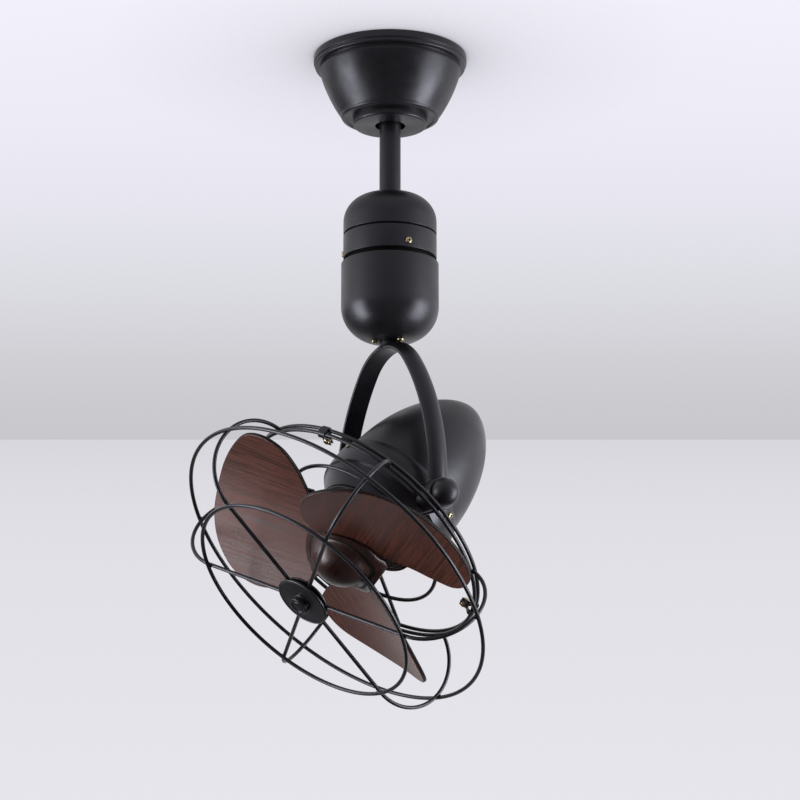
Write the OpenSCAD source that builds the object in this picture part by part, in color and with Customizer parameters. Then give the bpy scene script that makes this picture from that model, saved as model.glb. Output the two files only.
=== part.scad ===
// Low profile ceiling fan: one caged fan head in a turning yoke below a short downrod.
// Millimetres, +Z up. The origin is the centre of the canopy's rim on the ceiling.
// At rest the head faces -Y and looks down; the tilt pivots lie along X.

/* [Canopy] */
// Outer radius of the canopy's rim flange
canopy_r = 77.4; // [70:0.1:100]
// Depth of the canopy from the ceiling to its bottom plate
canopy_h = 65.5; // [56:0.1:90]
// Height of the rim flange
flange_h = 11; // [6:0.5:16]
// Height of the groove below the rim flange
groove_h = 3.2; // [2:0.1:5]
// Depth of the groove behind the rim flange
groove_depth = 7; // [3:0.1:9]
// Outer radius of the bowl at its bottom rim
bowl_bottom_r = 49.4; // [46:0.1:56]
// Radius of the arc that the bowl's side follows
bowl_curve_r = 160; // [110:1:400]
// Wall of the canopy and its cover
canopy_wall = 1.5; // [1:0.1:2]
// Outer radius of the screw cover below the canopy
cover_r = 37.3; // [34:0.1:42]
// Depth of the screw cover
cover_h = 7.3; // [5:0.1:14]
// Radius of the hole that the downrod leaves through
cover_hole_r = 15; // [13:0.1:18]

/* [Ceiling bracket] */
// Distance between the two ceiling screw slots
slot_spacing = 89; // [80:0.5:96]
// Width of a ceiling screw slot
slot_w = 5.4; // [4:0.1:7]
// Length of a ceiling screw slot
slot_len = 12; // [9:0.5:16]
// Length of the bracket's strap
strap_len = 124; // [118:1:128]
// Width of the bracket's strap
strap_w = 34; // [28:1:38]
// Thickness of the bracket's sheet
bracket_t = 2.5; // [2:0.1:3]
// Radius of the hanger ball
ball_r = 19; // [18:0.1:20]
// Radius of the seat hole that the ball rests in
seat_r = 14; // [13:0.1:15]
// Radius of the screws that hold the canopy
canopy_screw_r = 2; // [1.5:0.1:2.5]

/* [Downrod] */
// Outer radius of the downrod
rod_r = 10.65; // [8:0.05:11.5]
// Wall of the downrod
rod_wall = 2.4; // [1.6:0.1:3]
// Length of the rod that shows between the canopy cover and the cap
rod_gap = 74.7; // [30:0.1:400]
// Depth of the rod inside the coupling
rod_depth = 27; // [24:0.5:30]
// Radius of the cross pins
cross_pin_r = 3; // [2:0.1:4]

/* [Turning unit] */
// Outer radius of the cap
cap_r = 46.5; // [45.5:0.1:47]
// Height of the cap
cap_h = 40.5; // [36:0.1:50]
// Radius of the cap's rounded shoulder
cap_round = 27.4; // [10:0.1:30]
// Height of the seam groove below the cap
seam_h = 0.8; // [0.4:0.1:1.5]
// Height of the fixed band
band_h = 24.6; // [23:0.1:30]
// Height of the running gap below the band
run_gap = 4.1; // [2:0.1:6]
// Outer radius of the turning housing
housing_r = 48.4; // [47.5:0.1:50]
// Height of the turning housing
housing_h = 80.5; // [79:0.1:100]
// Radius of the housing's rounded bottom edge
housing_round = 36; // [12:0.1:37]
// Wall of the cap, the band and the housing
shell_wall = 1.7; // [1.2:0.1:2]
// Radius of the fixed spindle
spindle_r = 7.5; // [6.5:0.1:8]
// Outer radius of the spindle bearings
spindle_bearing_r = 14; // [13:0.1:14.5]
// Height of a spindle bearing
spindle_bearing_h = 7; // [5:0.1:8]
// Module of the drive gears
gear_module = 1; // [0.9:0.02:1.04]
// Teeth of the turning gear
gear_teeth = 46; // [44:1:48]
// Teeth of the motor's pinion
pinion_teeth = 12; // [12:1:13]
// Radius of the oscillation motor
osc_motor_r = 12.7; // [11:0.1:13]
// Height of the oscillation motor
osc_motor_h = 12; // [9:0.1:14]
// Radius of the brass screw heads
screw_head_r = 3.3; // [2.5:0.1:3.6]

/* [Yoke] */
// Clear gap between the motor can and each end of the yoke
yoke_gap = 14.2; // [12:0.1:30]
// Length of the yoke's straight ends above the tilt axis
yoke_end = 17.76; // [16:0.01:60]
// Width of the yoke's bar
bar_w = 21; // [16:0.1:26]
// Thickness of the yoke's bar at its crown
bar_t = 8.5; // [7:0.1:11]
// Inner radius of the arch at the yoke's top
crown_r = 50; // [40:0.5:56]
// Half angle of the arch's top arc
crown_angle = 50; // [44:0.5:52]
// Radius of the round ends of the yoke
boss_r = 15.5; // [13:0.1:17]
// Thickness of the round ends of the yoke
boss_t = 10.5; // [9:0.1:13]
// Radius of the tilt studs
stud_r = 5; // [4:0.1:6]
// Radius of the ball knobs
knob_r = 13.5; // [11:0.1:15]

/* [Fan head] */
// Angle of the head below the horizontal at rest
tilt_rest = 47.5; // [20:0.5:70]
// Offset of the motor's axis above the tilt axis
head_offset = 4.8; // [0:0.1:8]
// Radius of the motor can at its widest
can_r = 69.3; // [68.5:0.1:70]
// Length of the can behind the tilt axis
can_back = 20; // [17:0.1:22]
// Length of the can in front of the tilt axis
can_front = 35; // [33:0.1:37]
// Radius of the can's front lip
can_lip_r = 53.2; // [51.5:0.1:55]
// Step from the can's side in to the rear hood's rim
hood_step = 4.9; // [4.3:0.1:7]
// Length of the rear hood
hood_len = 127; // [116:0.5:130]
// Wall of the hood
hood_wall = 1.6; // [1.2:0.1:2]
// Radius of the motor shaft
shaft_r = 6; // [5:0.1:7]
// Outer radius of the motor bearings
bearing_r = 14; // [12:0.1:16]
// Radius of the rotor
rotor_r = 30.5; // [26:0.1:31]
// Thickness of the stator's and rotor's stack
stack_len = 18; // [14:0.5:18]

/* [Blades] */
// Number of blades
blade_count = 3; // [3]
// Radius of the blades' tips
blade_r = 149.5; // [130:0.5:150.5]
// Width that the blades' outline is drawn to
blade_w = 168; // [150:0.5:172]
// Thickness of a blade
blade_t = 4; // [3:0.1:4.6]
// Distance of the blades' middle in front of the tilt axis
blade_s = 75.6; // [75:0.1:79]
// Pitch of the blades at their middle
blade_pitch = 15; // [10:0.5:16]
// Change of the pitch towards the tip
blade_twist = -2.3; // [-3:0.1:0]
// Forward slope of the blades towards the tip
blade_rake = -1.1; // [-3:0.1:0]
// Depth of the blades' hollow
blade_cup = 9.4; // [6:0.1:11]
// Length of the carrier's arms
arm_len = 69; // [64:0.1:74]
// Radius of the spinner's skirt
spinner_r = 43.5; // [40:0.1:46]
// Depth of the spinner
spinner_h = 38.5; // [36:0.1:41]

/* [Cage] */
// Diameter of the cage's wire
wire_d = 3.8; // [3:0.1:4.2]
// Depth by which crossing wires are welded into each other
weld = 0.6; // [0.4:0.1:0.8]
// Distance of the cage's front from the tilt axis
cage_front = 134.8; // [132:0.1:144]
// Radius of the ribs' bend
rib_bend_r = 48; // [46:0.5:50]
// Distance of the ribs' bend from the motor's axis
rib_bend_at = 119.5; // [119.5:0.5:126]
// Number of ribs
rib_count = 6; // [6]
// Angle of the first rib
rib_start = 27; // [24:1:30]
// Radius of the front ring
front_ring_r = 118.6; // [90:0.5:119]
// Radius of the two rear rings
rear_ring_r = 130.2; // [129.5:0.1:131]
// Distance between the two rear rings
rear_ring_gap = 5.8; // [5:0.1:6.5]
// Radius of the rear guard's inner ring
guard_ring_r = 85.2; // [70:0.1:100]
// Radius of the front badge
badge_r = 27.6; // [24:0.1:34]
// Radius of the badge's button
button_r = 9.5; // [6:0.1:12]

/* [Fits] */
// Gap between faces that rest on each other
seat_gap = 0.3; // [0.2:0.05:0.4]
// Radial gap between a shaft and its bore
run_fit = 0.05; // [0.02:0.01:0.1]

/* [Hidden] */
$fn = 96;
e = 0.01;

black = "#1b1b1d";
steel = "#9a9ca0";
brass = "#b08d3c";
walnut = "#4a2b22";
copper = "#a5592a";

// levels down the middle, measured from the ceiling
cover_z = -(canopy_h + cover_h);
cap_top = cover_z - rod_gap;
cap_bottom = cap_top - cap_h;
band_top = cap_bottom - seam_h;
band_bottom = band_top - band_h;
housing_top = band_bottom - run_gap;
housing_bottom = housing_top - housing_h;

// hanger ball in its seat
cradle_z = -canopy_h + canopy_wall + seat_gap;
ball_z = cradle_z + bracket_t + sqrt(ball_r * ball_r - seat_r * seat_r) + seat_gap;
cradle_half = ball_r + 8;
cover_screw_at = (seat_r + cradle_half + 6) / 2;
rod_top = ball_z + ball_r - 4;
coupling_top = cap_top - 3;
rod_bottom = coupling_top - rod_depth;
rod_bore_r = rod_r - rod_wall;
coupling_r = rod_r + 3.85;
coupling_pin_z = coupling_top - rod_depth / 2 - 4;

// fixed part of the turning unit
base_t = 4;
base_top = band_bottom + base_t;
band_in_r = cap_r - shell_wall;
base_r = band_in_r - seat_gap;
base_rim_h = 10;
base_screw_z = base_top + 3.4;
band_screw_angles = [-9, 111, 231];
spindle_top = rod_bottom - 4;
spindle_end = housing_bottom + 16;
collar_z = band_bottom - 4;
upper_bearing_top = housing_top - 18.5;
lower_bearing_top = upper_bearing_top - 30;
slip_top = upper_bearing_top - spindle_bearing_h - 5;
slip_h = 14;
slip_r = spindle_bearing_r - 3;

// turning part
gear_r = gear_module * gear_teeth / 2;
pinion_r = gear_module * pinion_teeth / 2;
gear_centres = gear_r + pinion_r;
gear_h = 5;
gear_top = housing_top - 9;
hub_r = spindle_bearing_r + 4.5;
hub_top = gear_top + 2.5;
hub_floor = housing_bottom + shell_wall + seat_gap;
hub_flange_r = 26;
hub_flange_t = 6;
osc_angle = 90;
yoke_stud_r = 6;
housing_screw_at = 15.5;
housing_screw_angles = [-110, 10, 130];

// yoke: a top arc, two side arcs and two straight ends that meet without a corner
yoke_half = can_r + yoke_gap;
yoke_in_top = housing_bottom - seat_gap - bar_t;
side_r = (yoke_half - crown_r * sin(crown_angle)) / (1 - sin(crown_angle));
crown_cz = yoke_in_top - crown_r;
side_cx = yoke_half - side_r;
side_cz = crown_cz - (side_r - crown_r) * cos(crown_angle);
pivot_z = side_cz - yoke_end;
bar_edge = 2.6;
bar_step = 0.1;
arc_lap = 0.3;
boss_out = yoke_half + boss_t;
knob_base = boss_out + seat_gap;
knob_c = knob_base + 3.2;
washer_t = 1;
tilt_hub_r = 13;
washer_in = yoke_half - seat_gap - washer_t;

// fan head, measured along the motor's axis from the tilt axis
can_wall = 1.8;
can_bore_r = can_r - 3.5;
hood_r = can_r - hood_step;
hood_spigot_r = can_bore_r - seat_gap;
hood_spigot_len = 13;
stack_back = -(can_back - hood_spigot_len) + 1;
stack_front = stack_back + stack_len;
stack_r = can_bore_r - seat_gap;
winding_len = 9;
bell_front = can_front + 1.2;
bell_t = 4;
bell_r = can_lip_r - can_wall - 0.8;
bell_wall = 3;
winding_gap = 1.6;
winding_r = bell_r - 1 - bell_wall - winding_gap;
plate_back = stack_back - 21;
plate_t = 4;
plate_r = hood_r - hood_wall - 2.8;
plate_wall = 4;
bearing_len = 8;
hood_screw_s = -11;
hood_screw_angles = [89, 209, 329];
boss_plate_r = 17;

// rotor
carrier_back = 46;
carrier_front = 64;
carrier_r = 20;
turn_at = 0.635 * blade_r;
turn_span = blade_r / 3;
cup_half = 0.417 * blade_w;
arm_t = 2.5;
arm_slope = 0.335;
root_s = blade_s - blade_cup - blade_rake;
arm_mid = root_s - blade_t / 2 - 2 * seat_gap - arm_t / 2 - 0.3;
arm_screws = [for (p = [[0.493, -0.174], [0.493, 0.145], [0.812, 0]]) p * arm_len];
shaft_end = 76;
spinner_back = 62;
spinner_wall = 2;
hub_nut_h = 7;
hub_nut_r = 9.8;

// cage
wire_r = wire_d / 2;
weld_gap = wire_d - weld;
badge_plate_r = badge_r - 3.6;
bend_s = cage_front - rib_bend_r;
bend_end = 14.5;
rib_in = badge_plate_r / 2;
rib_step = 0.02;
rib_lap = 1;
front_ring_s = cage_front + weld_gap;
big_ring_r = rib_bend_at + rib_bend_r + weld_gap;
big_ring_s = bend_s + 0.4 * wire_d;
rear_ring_s = 41.9;
guard_ring_s = rear_ring_s - rear_ring_gap;
spoke_s = guard_ring_s + 2.5;
spoke_end = rear_ring_r - 0.8 * wire_r;
guard_inner_s = spoke_s + 2.2;
guard_plate_s = bell_front + seat_gap;
guard_plate_t = 2;
guard_plate_r = bell_r - 4.6;
guard_plate_in = guard_plate_r - 16;
bell_screw_at = (guard_plate_r + guard_plate_in) / 2;
spoke_angles = [0, 120, 240];
clip_angles = [60, 180, 300];
clip_back = guard_ring_s - 3.4;
clip_front = rear_ring_s + 3.4;
clip_in = rear_ring_r - 14;
clip_out = rear_ring_r + 3.4;
clip_w = 12;
clip_screw_at = clip_in + 4.4;
badge_s = cage_front + wire_r + seat_gap;
badge_t = 3.4;
badge_plate_t = 2.2;
badge_plate_s = cage_front - wire_r - seat_gap - badge_plate_t;
badge_stud_r = 4;
button_top = badge_s + 9;

// shapes that are used more than once

function arc(cx, cy, r, a0, a1, n = 10) =
    [for (i = [0:n]) [cx + r * cos(a0 + (a1 - a0) * i / n), cy + r * sin(a0 + (a1 - a0) * i / n)]];

// arc of radius r from p to q that bulges away from the axis
function bulge(p, q, r, n = 12) =
    let (d = norm(q - p), u = (q - p) / d, h = sqrt(r * r - d * d / 4),
         c = (p + q) / 2 + h * [u[1], -u[0]],
         a0 = atan2(p[1] - c[1], p[0] - c[0]), a1 = atan2(q[1] - c[1], q[0] - c[0]))
    arc(c[0], c[1], r, a0, a1, n);

function spin(p, a) = [p[0] * cos(a) - p[1] * sin(a), p[0] * sin(a) + p[1] * cos(a)];

module tube(r_out, r_in, z0, z1) {
    difference() {
        translate([0, 0, z0]) cylinder(r = r_out, h = z1 - z0);
        translate([0, 0, z0 - 1]) cylinder(r = r_in, h = z1 - z0 + 2);
    }
}

module rod(r, z0, z1) {
    translate([0, 0, z0]) cylinder(r = r, h = z1 - z0);
}

// a rod along X through the point [0, 0, z]
module cross_rod(r, half, z) {
    translate([-half, 0, z]) rotate([0, 90, 0]) cylinder(r = r, h = 2 * half);
}

// frame of the fan head: its Z runs forward along the motor's axis and its X along the pivots
module in_head() {
    translate([0, 0, pivot_z]) rotate([90 + tilt_rest, 0, 0]) translate([0, head_offset, 0])
        children();
}

module ring_wire(r, s, grow = 0) {
    translate([0, 0, s]) rotate_extrude() translate([r, 0]) circle(r = wire_r + grow, $fn = 24);
}

module screw(head_r, head_h, shank_r, shank_len) {
    cylinder(r = head_r, h = head_h);
    translate([0, 0, -shank_len]) cylinder(r = shank_r, h = shank_len + e);
}

// Ceiling mount

module slot_cut(x) {
    for (side = [-1, 1])
        translate([x + side * (slot_len - slot_w) / 2, 0, -bracket_t - 1])
            cylinder(r = slot_w / 2, h = bracket_t + 2);
    translate([x - (slot_len - slot_w) / 2, -slot_w / 2, -bracket_t - 1])
        cube([slot_len - slot_w, slot_w, bracket_t + 2]);
}

module ceiling_bracket() {
    color(steel) difference() {
        union() {
            translate([-strap_len / 2, -strap_w / 2, -bracket_t])
                cube([strap_len, strap_w, bracket_t]);
            for (side = [-1, 1])
                translate([side * cradle_half - bracket_t / 2, -strap_w / 2, cradle_z])
                    cube([bracket_t, strap_w, -cradle_z]);
            translate([-cradle_half - 6, -strap_w / 2, cradle_z])
                cube([2 * cradle_half + 12, strap_w, bracket_t]);
        }
        slot_cut(slot_spacing / 2);
        slot_cut(-slot_spacing / 2);
        translate([0, 0, cradle_z - 1]) cylinder(r = seat_r, h = bracket_t + 2);
        for (side = [-1, 1])
            translate([side * cover_screw_at, 0, cradle_z - 1])
                cylinder(r = canopy_screw_r + run_fit, h = bracket_t + 2);
    }
}

module canopy() {
    groove_r = canopy_r - groove_depth;
    groove_z = -flange_h - groove_h;
    rim = 3.2;
    side = bulge([groove_r + 0.6, groove_z], [bowl_bottom_r, -canopy_h + rim], bowl_curve_r);
    outer = concat(
        [[canopy_r, 0]],
        arc(canopy_r - 1.5, -flange_h + 1.5, 1.5, 0, -90, 5),
        [[groove_r, -flange_h], [groove_r, groove_z]],
        side,
        arc(bowl_bottom_r - rim, -canopy_h + rim, rim, -20, -90, 6));
    inner = concat(
        [[rod_r + 5, -canopy_h], [rod_r + 5, -canopy_h + canopy_wall]],
        [[bowl_bottom_r - rim, -canopy_h + canopy_wall]],
        [for (i = [len(side) - 1:-1:0]) side[i] - [canopy_wall * 1.05, -0.3]],
        [[groove_r - canopy_wall, -flange_h + canopy_wall],
         [canopy_r - canopy_wall, -flange_h + canopy_wall], [canopy_r - canopy_wall, 0]]);
    color(black) difference() {
        rotate_extrude() polygon(concat(outer, inner));
        for (side_x = [-1, 1])
            translate([side_x * cover_screw_at, 0, -canopy_h - 1])
                cylinder(r = canopy_screw_r + run_fit, h = canopy_wall + 2);
    }
}

module canopy_screws() {
    color(brass) for (side = [-1, 1])
        translate([side * cover_screw_at, 0, -canopy_h])
            rotate([180, 0, 0]) screw(2 * canopy_screw_r, 2, canopy_screw_r, bracket_t + 5);
}

module canopy_cover() {
    rim = 2.2;
    outer = concat(
        [[cover_r, -canopy_h]],
        arc(cover_r - rim, cover_z + rim, rim, 0, -90, 6));
    inner = [[cover_hole_r, cover_z], [cover_hole_r, cover_z + canopy_wall],
             [cover_r - canopy_wall - 1, cover_z + canopy_wall],
             [cover_r - canopy_wall, cover_z + canopy_wall + 1], [cover_r - canopy_wall, -canopy_h]];
    color(black) rotate_extrude() polygon(concat(outer, inner));
}

module hanger_ball() {
    color(black) difference() {
        translate([0, 0, ball_z]) sphere(r = ball_r);
        translate([0, 0, ball_z - ball_r - 1]) cylinder(r = rod_r + run_fit, h = 2 * ball_r + 2);
        cross_rod(cross_pin_r + run_fit, ball_r + 1, ball_z);
    }
}

module ball_pin() {
    color(steel) cross_rod(cross_pin_r, ball_r - 1.5, ball_z);
}

module downrod() {
    color(black) difference() {
        tube(rod_r, rod_bore_r, rod_bottom, rod_top);
        cross_rod(cross_pin_r + run_fit, rod_r + 1, ball_z);
        cross_rod(cross_pin_r + run_fit, rod_r + 1, coupling_pin_z);
    }
}

// Fixed part of the turning unit

module rod_coupling() {
    color(steel) difference() {
        rod(coupling_r, base_top, coupling_top);
        rod(rod_r + run_fit, rod_bottom - seat_gap, coupling_top + 1);
        rod(spindle_r + run_fit, base_top - 1, rod_bottom);
        cross_rod(cross_pin_r + run_fit, coupling_r + 1, coupling_pin_z);
    }
}

module coupling_pin() {
    color(steel) cross_rod(cross_pin_r, coupling_r - 0.5, coupling_pin_z);
}

module upper_cap() {
    hole = rod_r + seat_gap;
    lip_r = band_in_r - seat_gap;
    outer = concat(arc(cap_r - cap_round, cap_top - cap_round, cap_round, 90, 0, 16),
        [[cap_r, cap_bottom], [lip_r, cap_bottom], [lip_r, cap_bottom - seam_h - 5]]);
    inner = concat([[lip_r - shell_wall, cap_bottom - seam_h - 5], [lip_r - shell_wall, cap_bottom]],
        arc(cap_r - cap_round, cap_top - cap_round, cap_round - shell_wall, 0, 90, 16),
        [[hole, cap_top - shell_wall], [hole, cap_top]]);
    color(black) rotate_extrude() polygon(concat(outer, inner));
}

module band_ring() {
    color(black) difference() {
        tube(cap_r, band_in_r, band_bottom, band_top);
        for (a = band_screw_angles)
            rotate([0, 0, a]) translate([band_in_r - 2, 0, base_screw_z]) rotate([0, 90, 0])
                cylinder(r = 1.5 + run_fit, h = 6);
    }
}

module band_screws() {
    color(brass) for (a = band_screw_angles)
        rotate([0, 0, a]) translate([cap_r, 0, base_screw_z]) rotate([0, 90, 0])
            screw(screw_head_r, 1.2, 1.5, 4.5);
}

module base_cup() {
    color(black) difference() {
        union() {
            rod(base_r, band_bottom, base_top);
            tube(base_r, base_r - 2, band_bottom, base_top + base_rim_h);
            tube(base_r - 1.6, base_r - 3.4, band_bottom - run_gap - 4, band_bottom + 1);
        }
        rod(spindle_r + run_fit, band_bottom - 1, base_top + 1);
        rotate([0, 0, osc_angle]) translate([gear_centres, 0, 0])
            rod(3, band_bottom - 1, base_top + 1);
        for (a = band_screw_angles)
            rotate([0, 0, a]) translate([base_r - 3, 0, base_screw_z]) rotate([0, 90, 0])
                cylinder(r = 1.5 + run_fit, h = 6);
    }
}

module spindle() {
    color(steel) difference() {
        union() {
            rod(spindle_r, spindle_end, spindle_top);
            rod(slip_r, collar_z, band_bottom);
            rod(spindle_r + 2, upper_bearing_top, collar_z + e);
        }
        rod(spindle_r - 3.5, spindle_end - 1, spindle_top + 1);
    }
}

module bearing(r_in, r_out, z_top, h) {
    shield = 0.3;
    difference() {
        rod(r_out, z_top - h, z_top);
        rod(r_in + run_fit, z_top - h - 1, z_top + 1);
        for (z = [z_top - shield, z_top - h - 1])
            tube(r_out - 1.5, r_in + 1.7, z, z + shield + 1);
    }
}

module upper_bearing() {
    color(steel) bearing(spindle_r, spindle_bearing_r, upper_bearing_top, spindle_bearing_h);
}

module lower_bearing() {
    color(steel) bearing(spindle_r, spindle_bearing_r, lower_bearing_top, spindle_bearing_h);
}

module spindle_nut() {
    z = lower_bearing_top - spindle_bearing_h;
    color(steel) difference() {
        translate([0, 0, z - 6]) cylinder(r = spindle_r + 3.4, h = 6, $fn = 6);
        rod(spindle_r + run_fit, z - 7, z + 1);
    }
}

module slip_ring() {
    color(brass) {
        tube(slip_r - 1, spindle_r + run_fit, slip_top - slip_h, slip_top);
        for (k = [0:2]) translate([0, 0, slip_top - 1.5 - 4.5 * k])
            tube(slip_r, slip_r - 2, -2.5, 0);
    }
}

module oscillation_motor() {
    rotate([0, 0, osc_angle]) translate([gear_centres, 0, 0])
        color(steel) difference() {
            rod(osc_motor_r, base_top, base_top + osc_motor_h);
            rod(2 + run_fit, base_top - 1, base_top + 6.1);
        }
}

// Gear outline with a tooth on the X axis; the flanks leave a little backlash
function gear_outline(teeth, m) =
    let (pitch = 360 / teeth, r = m * teeth / 2)
    [for (k = [0:teeth - 1]) for (q = [[-0.35, -1.2], [-0.25, -0.35], [-0.12, 0.75],
                                       [0.12, 0.75], [0.25, -0.35], [0.35, -1.2]])
        spin([r + q[1] * m, 0], (k + q[0]) * pitch)];

module gear(teeth, bore) {
    difference() {
        linear_extrude(height = gear_h) polygon(gear_outline(teeth, gear_module));
        translate([0, 0, -1]) cylinder(r = bore, h = gear_h + 2);
    }
}

module drive_pinion() {
    rotate([0, 0, osc_angle]) translate([gear_centres, 0, 0]) color(brass) {
        translate([0, 0, gear_top - gear_h]) rotate([0, 0, 180 + 180 / pinion_teeth])
            gear(pinion_teeth, 1);
        rod(2, gear_top - gear_h, base_top + 6);
    }
}

// Turning part of the turning unit

module lower_housing() {
    lip = 1.2;
    inner_round = housing_round - shell_wall;
    outer = concat(
        [[housing_r - shell_wall, housing_top]],
        arc(housing_r - lip, housing_top - lip, lip, 90, 0, 5),
        arc(housing_r - housing_round, housing_bottom + housing_round, housing_round, 0, -90, 18));
    inner = concat(
        [[yoke_stud_r + 0.2, housing_bottom], [yoke_stud_r + 0.2, housing_bottom + shell_wall]],
        arc(housing_r - housing_round, housing_bottom + housing_round, inner_round, -90, 0, 18));
    color(black) difference() {
        rotate_extrude() polygon(concat(outer, inner));
        housing_screw_places() translate([0, 0, housing_bottom - 1])
            cylinder(r = 1.5 + run_fit, h = 8);
    }
}

module housing_screw_places() {
    for (a = housing_screw_angles)
        rotate([0, 0, a]) translate([housing_screw_at, 0, 0]) children();
}

module housing_screws() {
    color(brass) housing_screw_places() translate([0, 0, housing_bottom])
        rotate([180, 0, 0]) screw(screw_head_r, 1.1, 1.5, 7);
}

module turning_hub() {
    brush_z = slip_top - slip_h;
    color(steel) difference() {
        union() {
            rod(hub_r, hub_floor, hub_top);
            rod(hub_flange_r, hub_floor, hub_floor + hub_flange_t);
        }
        rod(spindle_bearing_r + run_fit, upper_bearing_top - spindle_bearing_h, hub_top + 1);
        rod(spindle_bearing_r - 1.5, lower_bearing_top, hub_top);
        rod(spindle_bearing_r + run_fit, hub_floor + hub_flange_t, lower_bearing_top);
        rod(yoke_stud_r + run_fit, hub_floor - 1, hub_floor + hub_flange_t + 1);
        translate([0, -4.2, brush_z + 1.8]) cube([hub_r + 1, 8.4, slip_h - 3.6]);
        difference() {
            rod(hub_flange_r + 1, hub_floor - 1, hub_floor + hub_flange_t + 1);
            translate([0, 0, hub_floor])
                rotate_extrude() polygon(concat([[0, hub_flange_t + 2], [0, 0]],
                    arc(housing_r - housing_round, housing_round - shell_wall,
                        housing_round - shell_wall - seat_gap, -90, -50, 10),
                    [[hub_flange_r + 2, hub_flange_t + 2]]));
        }
        housing_screw_places() translate([0, 0, hub_floor - 1])
            cylinder(r = 1.5 + run_fit, h = hub_flange_t + 0.5);
    }
}

module turning_gear() {
    color(brass) rotate([0, 0, osc_angle]) translate([0, 0, gear_top - gear_h])
        gear(gear_teeth, hub_r + run_fit);
}

module brush_block() {
    z = slip_top - slip_h + 2;
    color(steel) difference() {
        translate([0, -4, z]) cube([hub_r + 3, 8, slip_h - 4]);
        rod(slip_r + seat_gap, z - 1, z + slip_h);
    }
}

// Yoke

// the bar's section across its width: flat inside, rounded outside
module bar_section(inset) {
    half = bar_w / 2 - inset;
    rise = bar_t - bar_edge - inset;
    r = (half * half + rise * rise) / (2 * rise);
    intersection() {
        translate([bar_edge + rise - r, 0]) circle(r = r);
        translate([inset, -half]) square([bar_t, 2 * half]);
    }
}

module bar_arc(cx, cz, r, a0, sweep, inset) {
    translate([cx, 0, cz]) rotate([90, 0, 0]) rotate([0, 0, a0])
        rotate_extrude(angle = sweep) translate([r, 0]) bar_section(inset);
}

module yoke() {
    color(black) difference() {
        union() {
            bar_arc(0, crown_cz, crown_r, 90 - crown_angle, 2 * crown_angle, 0);
            for (side = [0, 1]) mirror([side, 0, 0]) {
                bar_arc(side_cx, side_cz, side_r, -arc_lap, 90 - crown_angle + 2 * arc_lap,
                    bar_step);
                translate([yoke_half, 0, pivot_z]) linear_extrude(height = side_cz - pivot_z)
                    bar_section(0);
                translate([yoke_half, 0, pivot_z]) rotate([0, 90, 0])
                    cylinder(r = boss_r, h = boss_t);
            }
            rod(yoke_stud_r, yoke_in_top + 1, hub_floor + hub_flange_t + 5.5);
            rod(10, yoke_in_top + 2, housing_bottom - seat_gap);
        }
        cross_rod(stud_r + run_fit, boss_out + 1, pivot_z);
    }
}

module yoke_nut() {
    z = hub_floor + hub_flange_t;
    color(steel) difference() {
        translate([0, 0, z]) cylinder(r = 10, h = 4.5, $fn = 6);
        rod(yoke_stud_r + run_fit, z - 1, z + 6);
    }
}

module on_pivot(side) {
    translate([0, 0, pivot_z]) mirror([side < 0 ? 1 : 0, 0, 0]) rotate([0, 90, 0]) children();
}

module knob(side) {
    color(black) on_pivot(side) difference() {
        rotate_extrude() polygon(concat([[0, knob_base]],
            arc(0, knob_c, knob_r, -asin((knob_c - knob_base) / knob_r), 90, 22)));
        rod(stud_r + run_fit, knob_base - 1, knob_c + 6);
    }
}

module knob_right() {
    knob(1);
}

module knob_left() {
    knob(-1);
}

module tilt_hub(side) {
    color(black) {
        difference() {
            on_pivot(side) rod(tilt_hub_r, can_r - 6, washer_in);
            in_head() rod(can_r + seat_gap, -can_back - tilt_hub_r, can_front + tilt_hub_r);
        }
        on_pivot(side) rod(stud_r, can_r - 2.5, knob_c + 5);
    }
}

module tilt_hub_right() {
    tilt_hub(1);
}

module tilt_hub_left() {
    tilt_hub(-1);
}

module tilt_washers() {
    color(steel) for (side = [-1, 1]) on_pivot(side)
        tube(tilt_hub_r - 1, stud_r + run_fit, washer_in, washer_in + washer_t);
}

// Fan head: hood, motor and cage

// points of the hood's side from its rim to its pole, for a rim radius r and a length l
function hood_side(r, l, n = 24) =
    [for (i = [0:n]) let (u = sin(90 * i / n)) [r * pow(1 - u * u, 0.6), -can_back - l * u]];

module rear_hood() {
    step_s = -can_back - seat_gap;
    outer = hood_side(hood_r, hood_len);
    inner = hood_side(hood_r - hood_wall, hood_len - 1.3 * hood_wall);
    n = len(outer) - 1;
    front = -can_back + hood_spigot_len;
    color(black) in_head() difference() {
        rotate_extrude() polygon(concat(
            [[hood_spigot_r, front], [hood_spigot_r, step_s], [hood_r, step_s]],
            [for (i = [1:n - 1]) outer[i]], [[0, outer[n][1]], [0, inner[n][1]]],
            [for (i = [n - 1:-1:1]) inner[i]],
            [[hood_r - hood_wall, step_s], [hood_r - hood_wall, front]]));
        hood_screw_holes();
    }
}

module hood_screw_holes() {
    for (a = hood_screw_angles)
        rotate([0, 0, a]) translate([can_bore_r - 6, 0, hood_screw_s]) rotate([0, 90, 0])
            cylinder(r = 1.5 + run_fit, h = 12);
}

module hood_screws() {
    color(brass) in_head() for (a = hood_screw_angles)
        rotate([0, 0, a]) translate([can_r + 0.4, 0, hood_screw_s]) rotate([0, 90, 0])
            screw(screw_head_r, 1.2, 1.5, 5);
}

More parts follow.
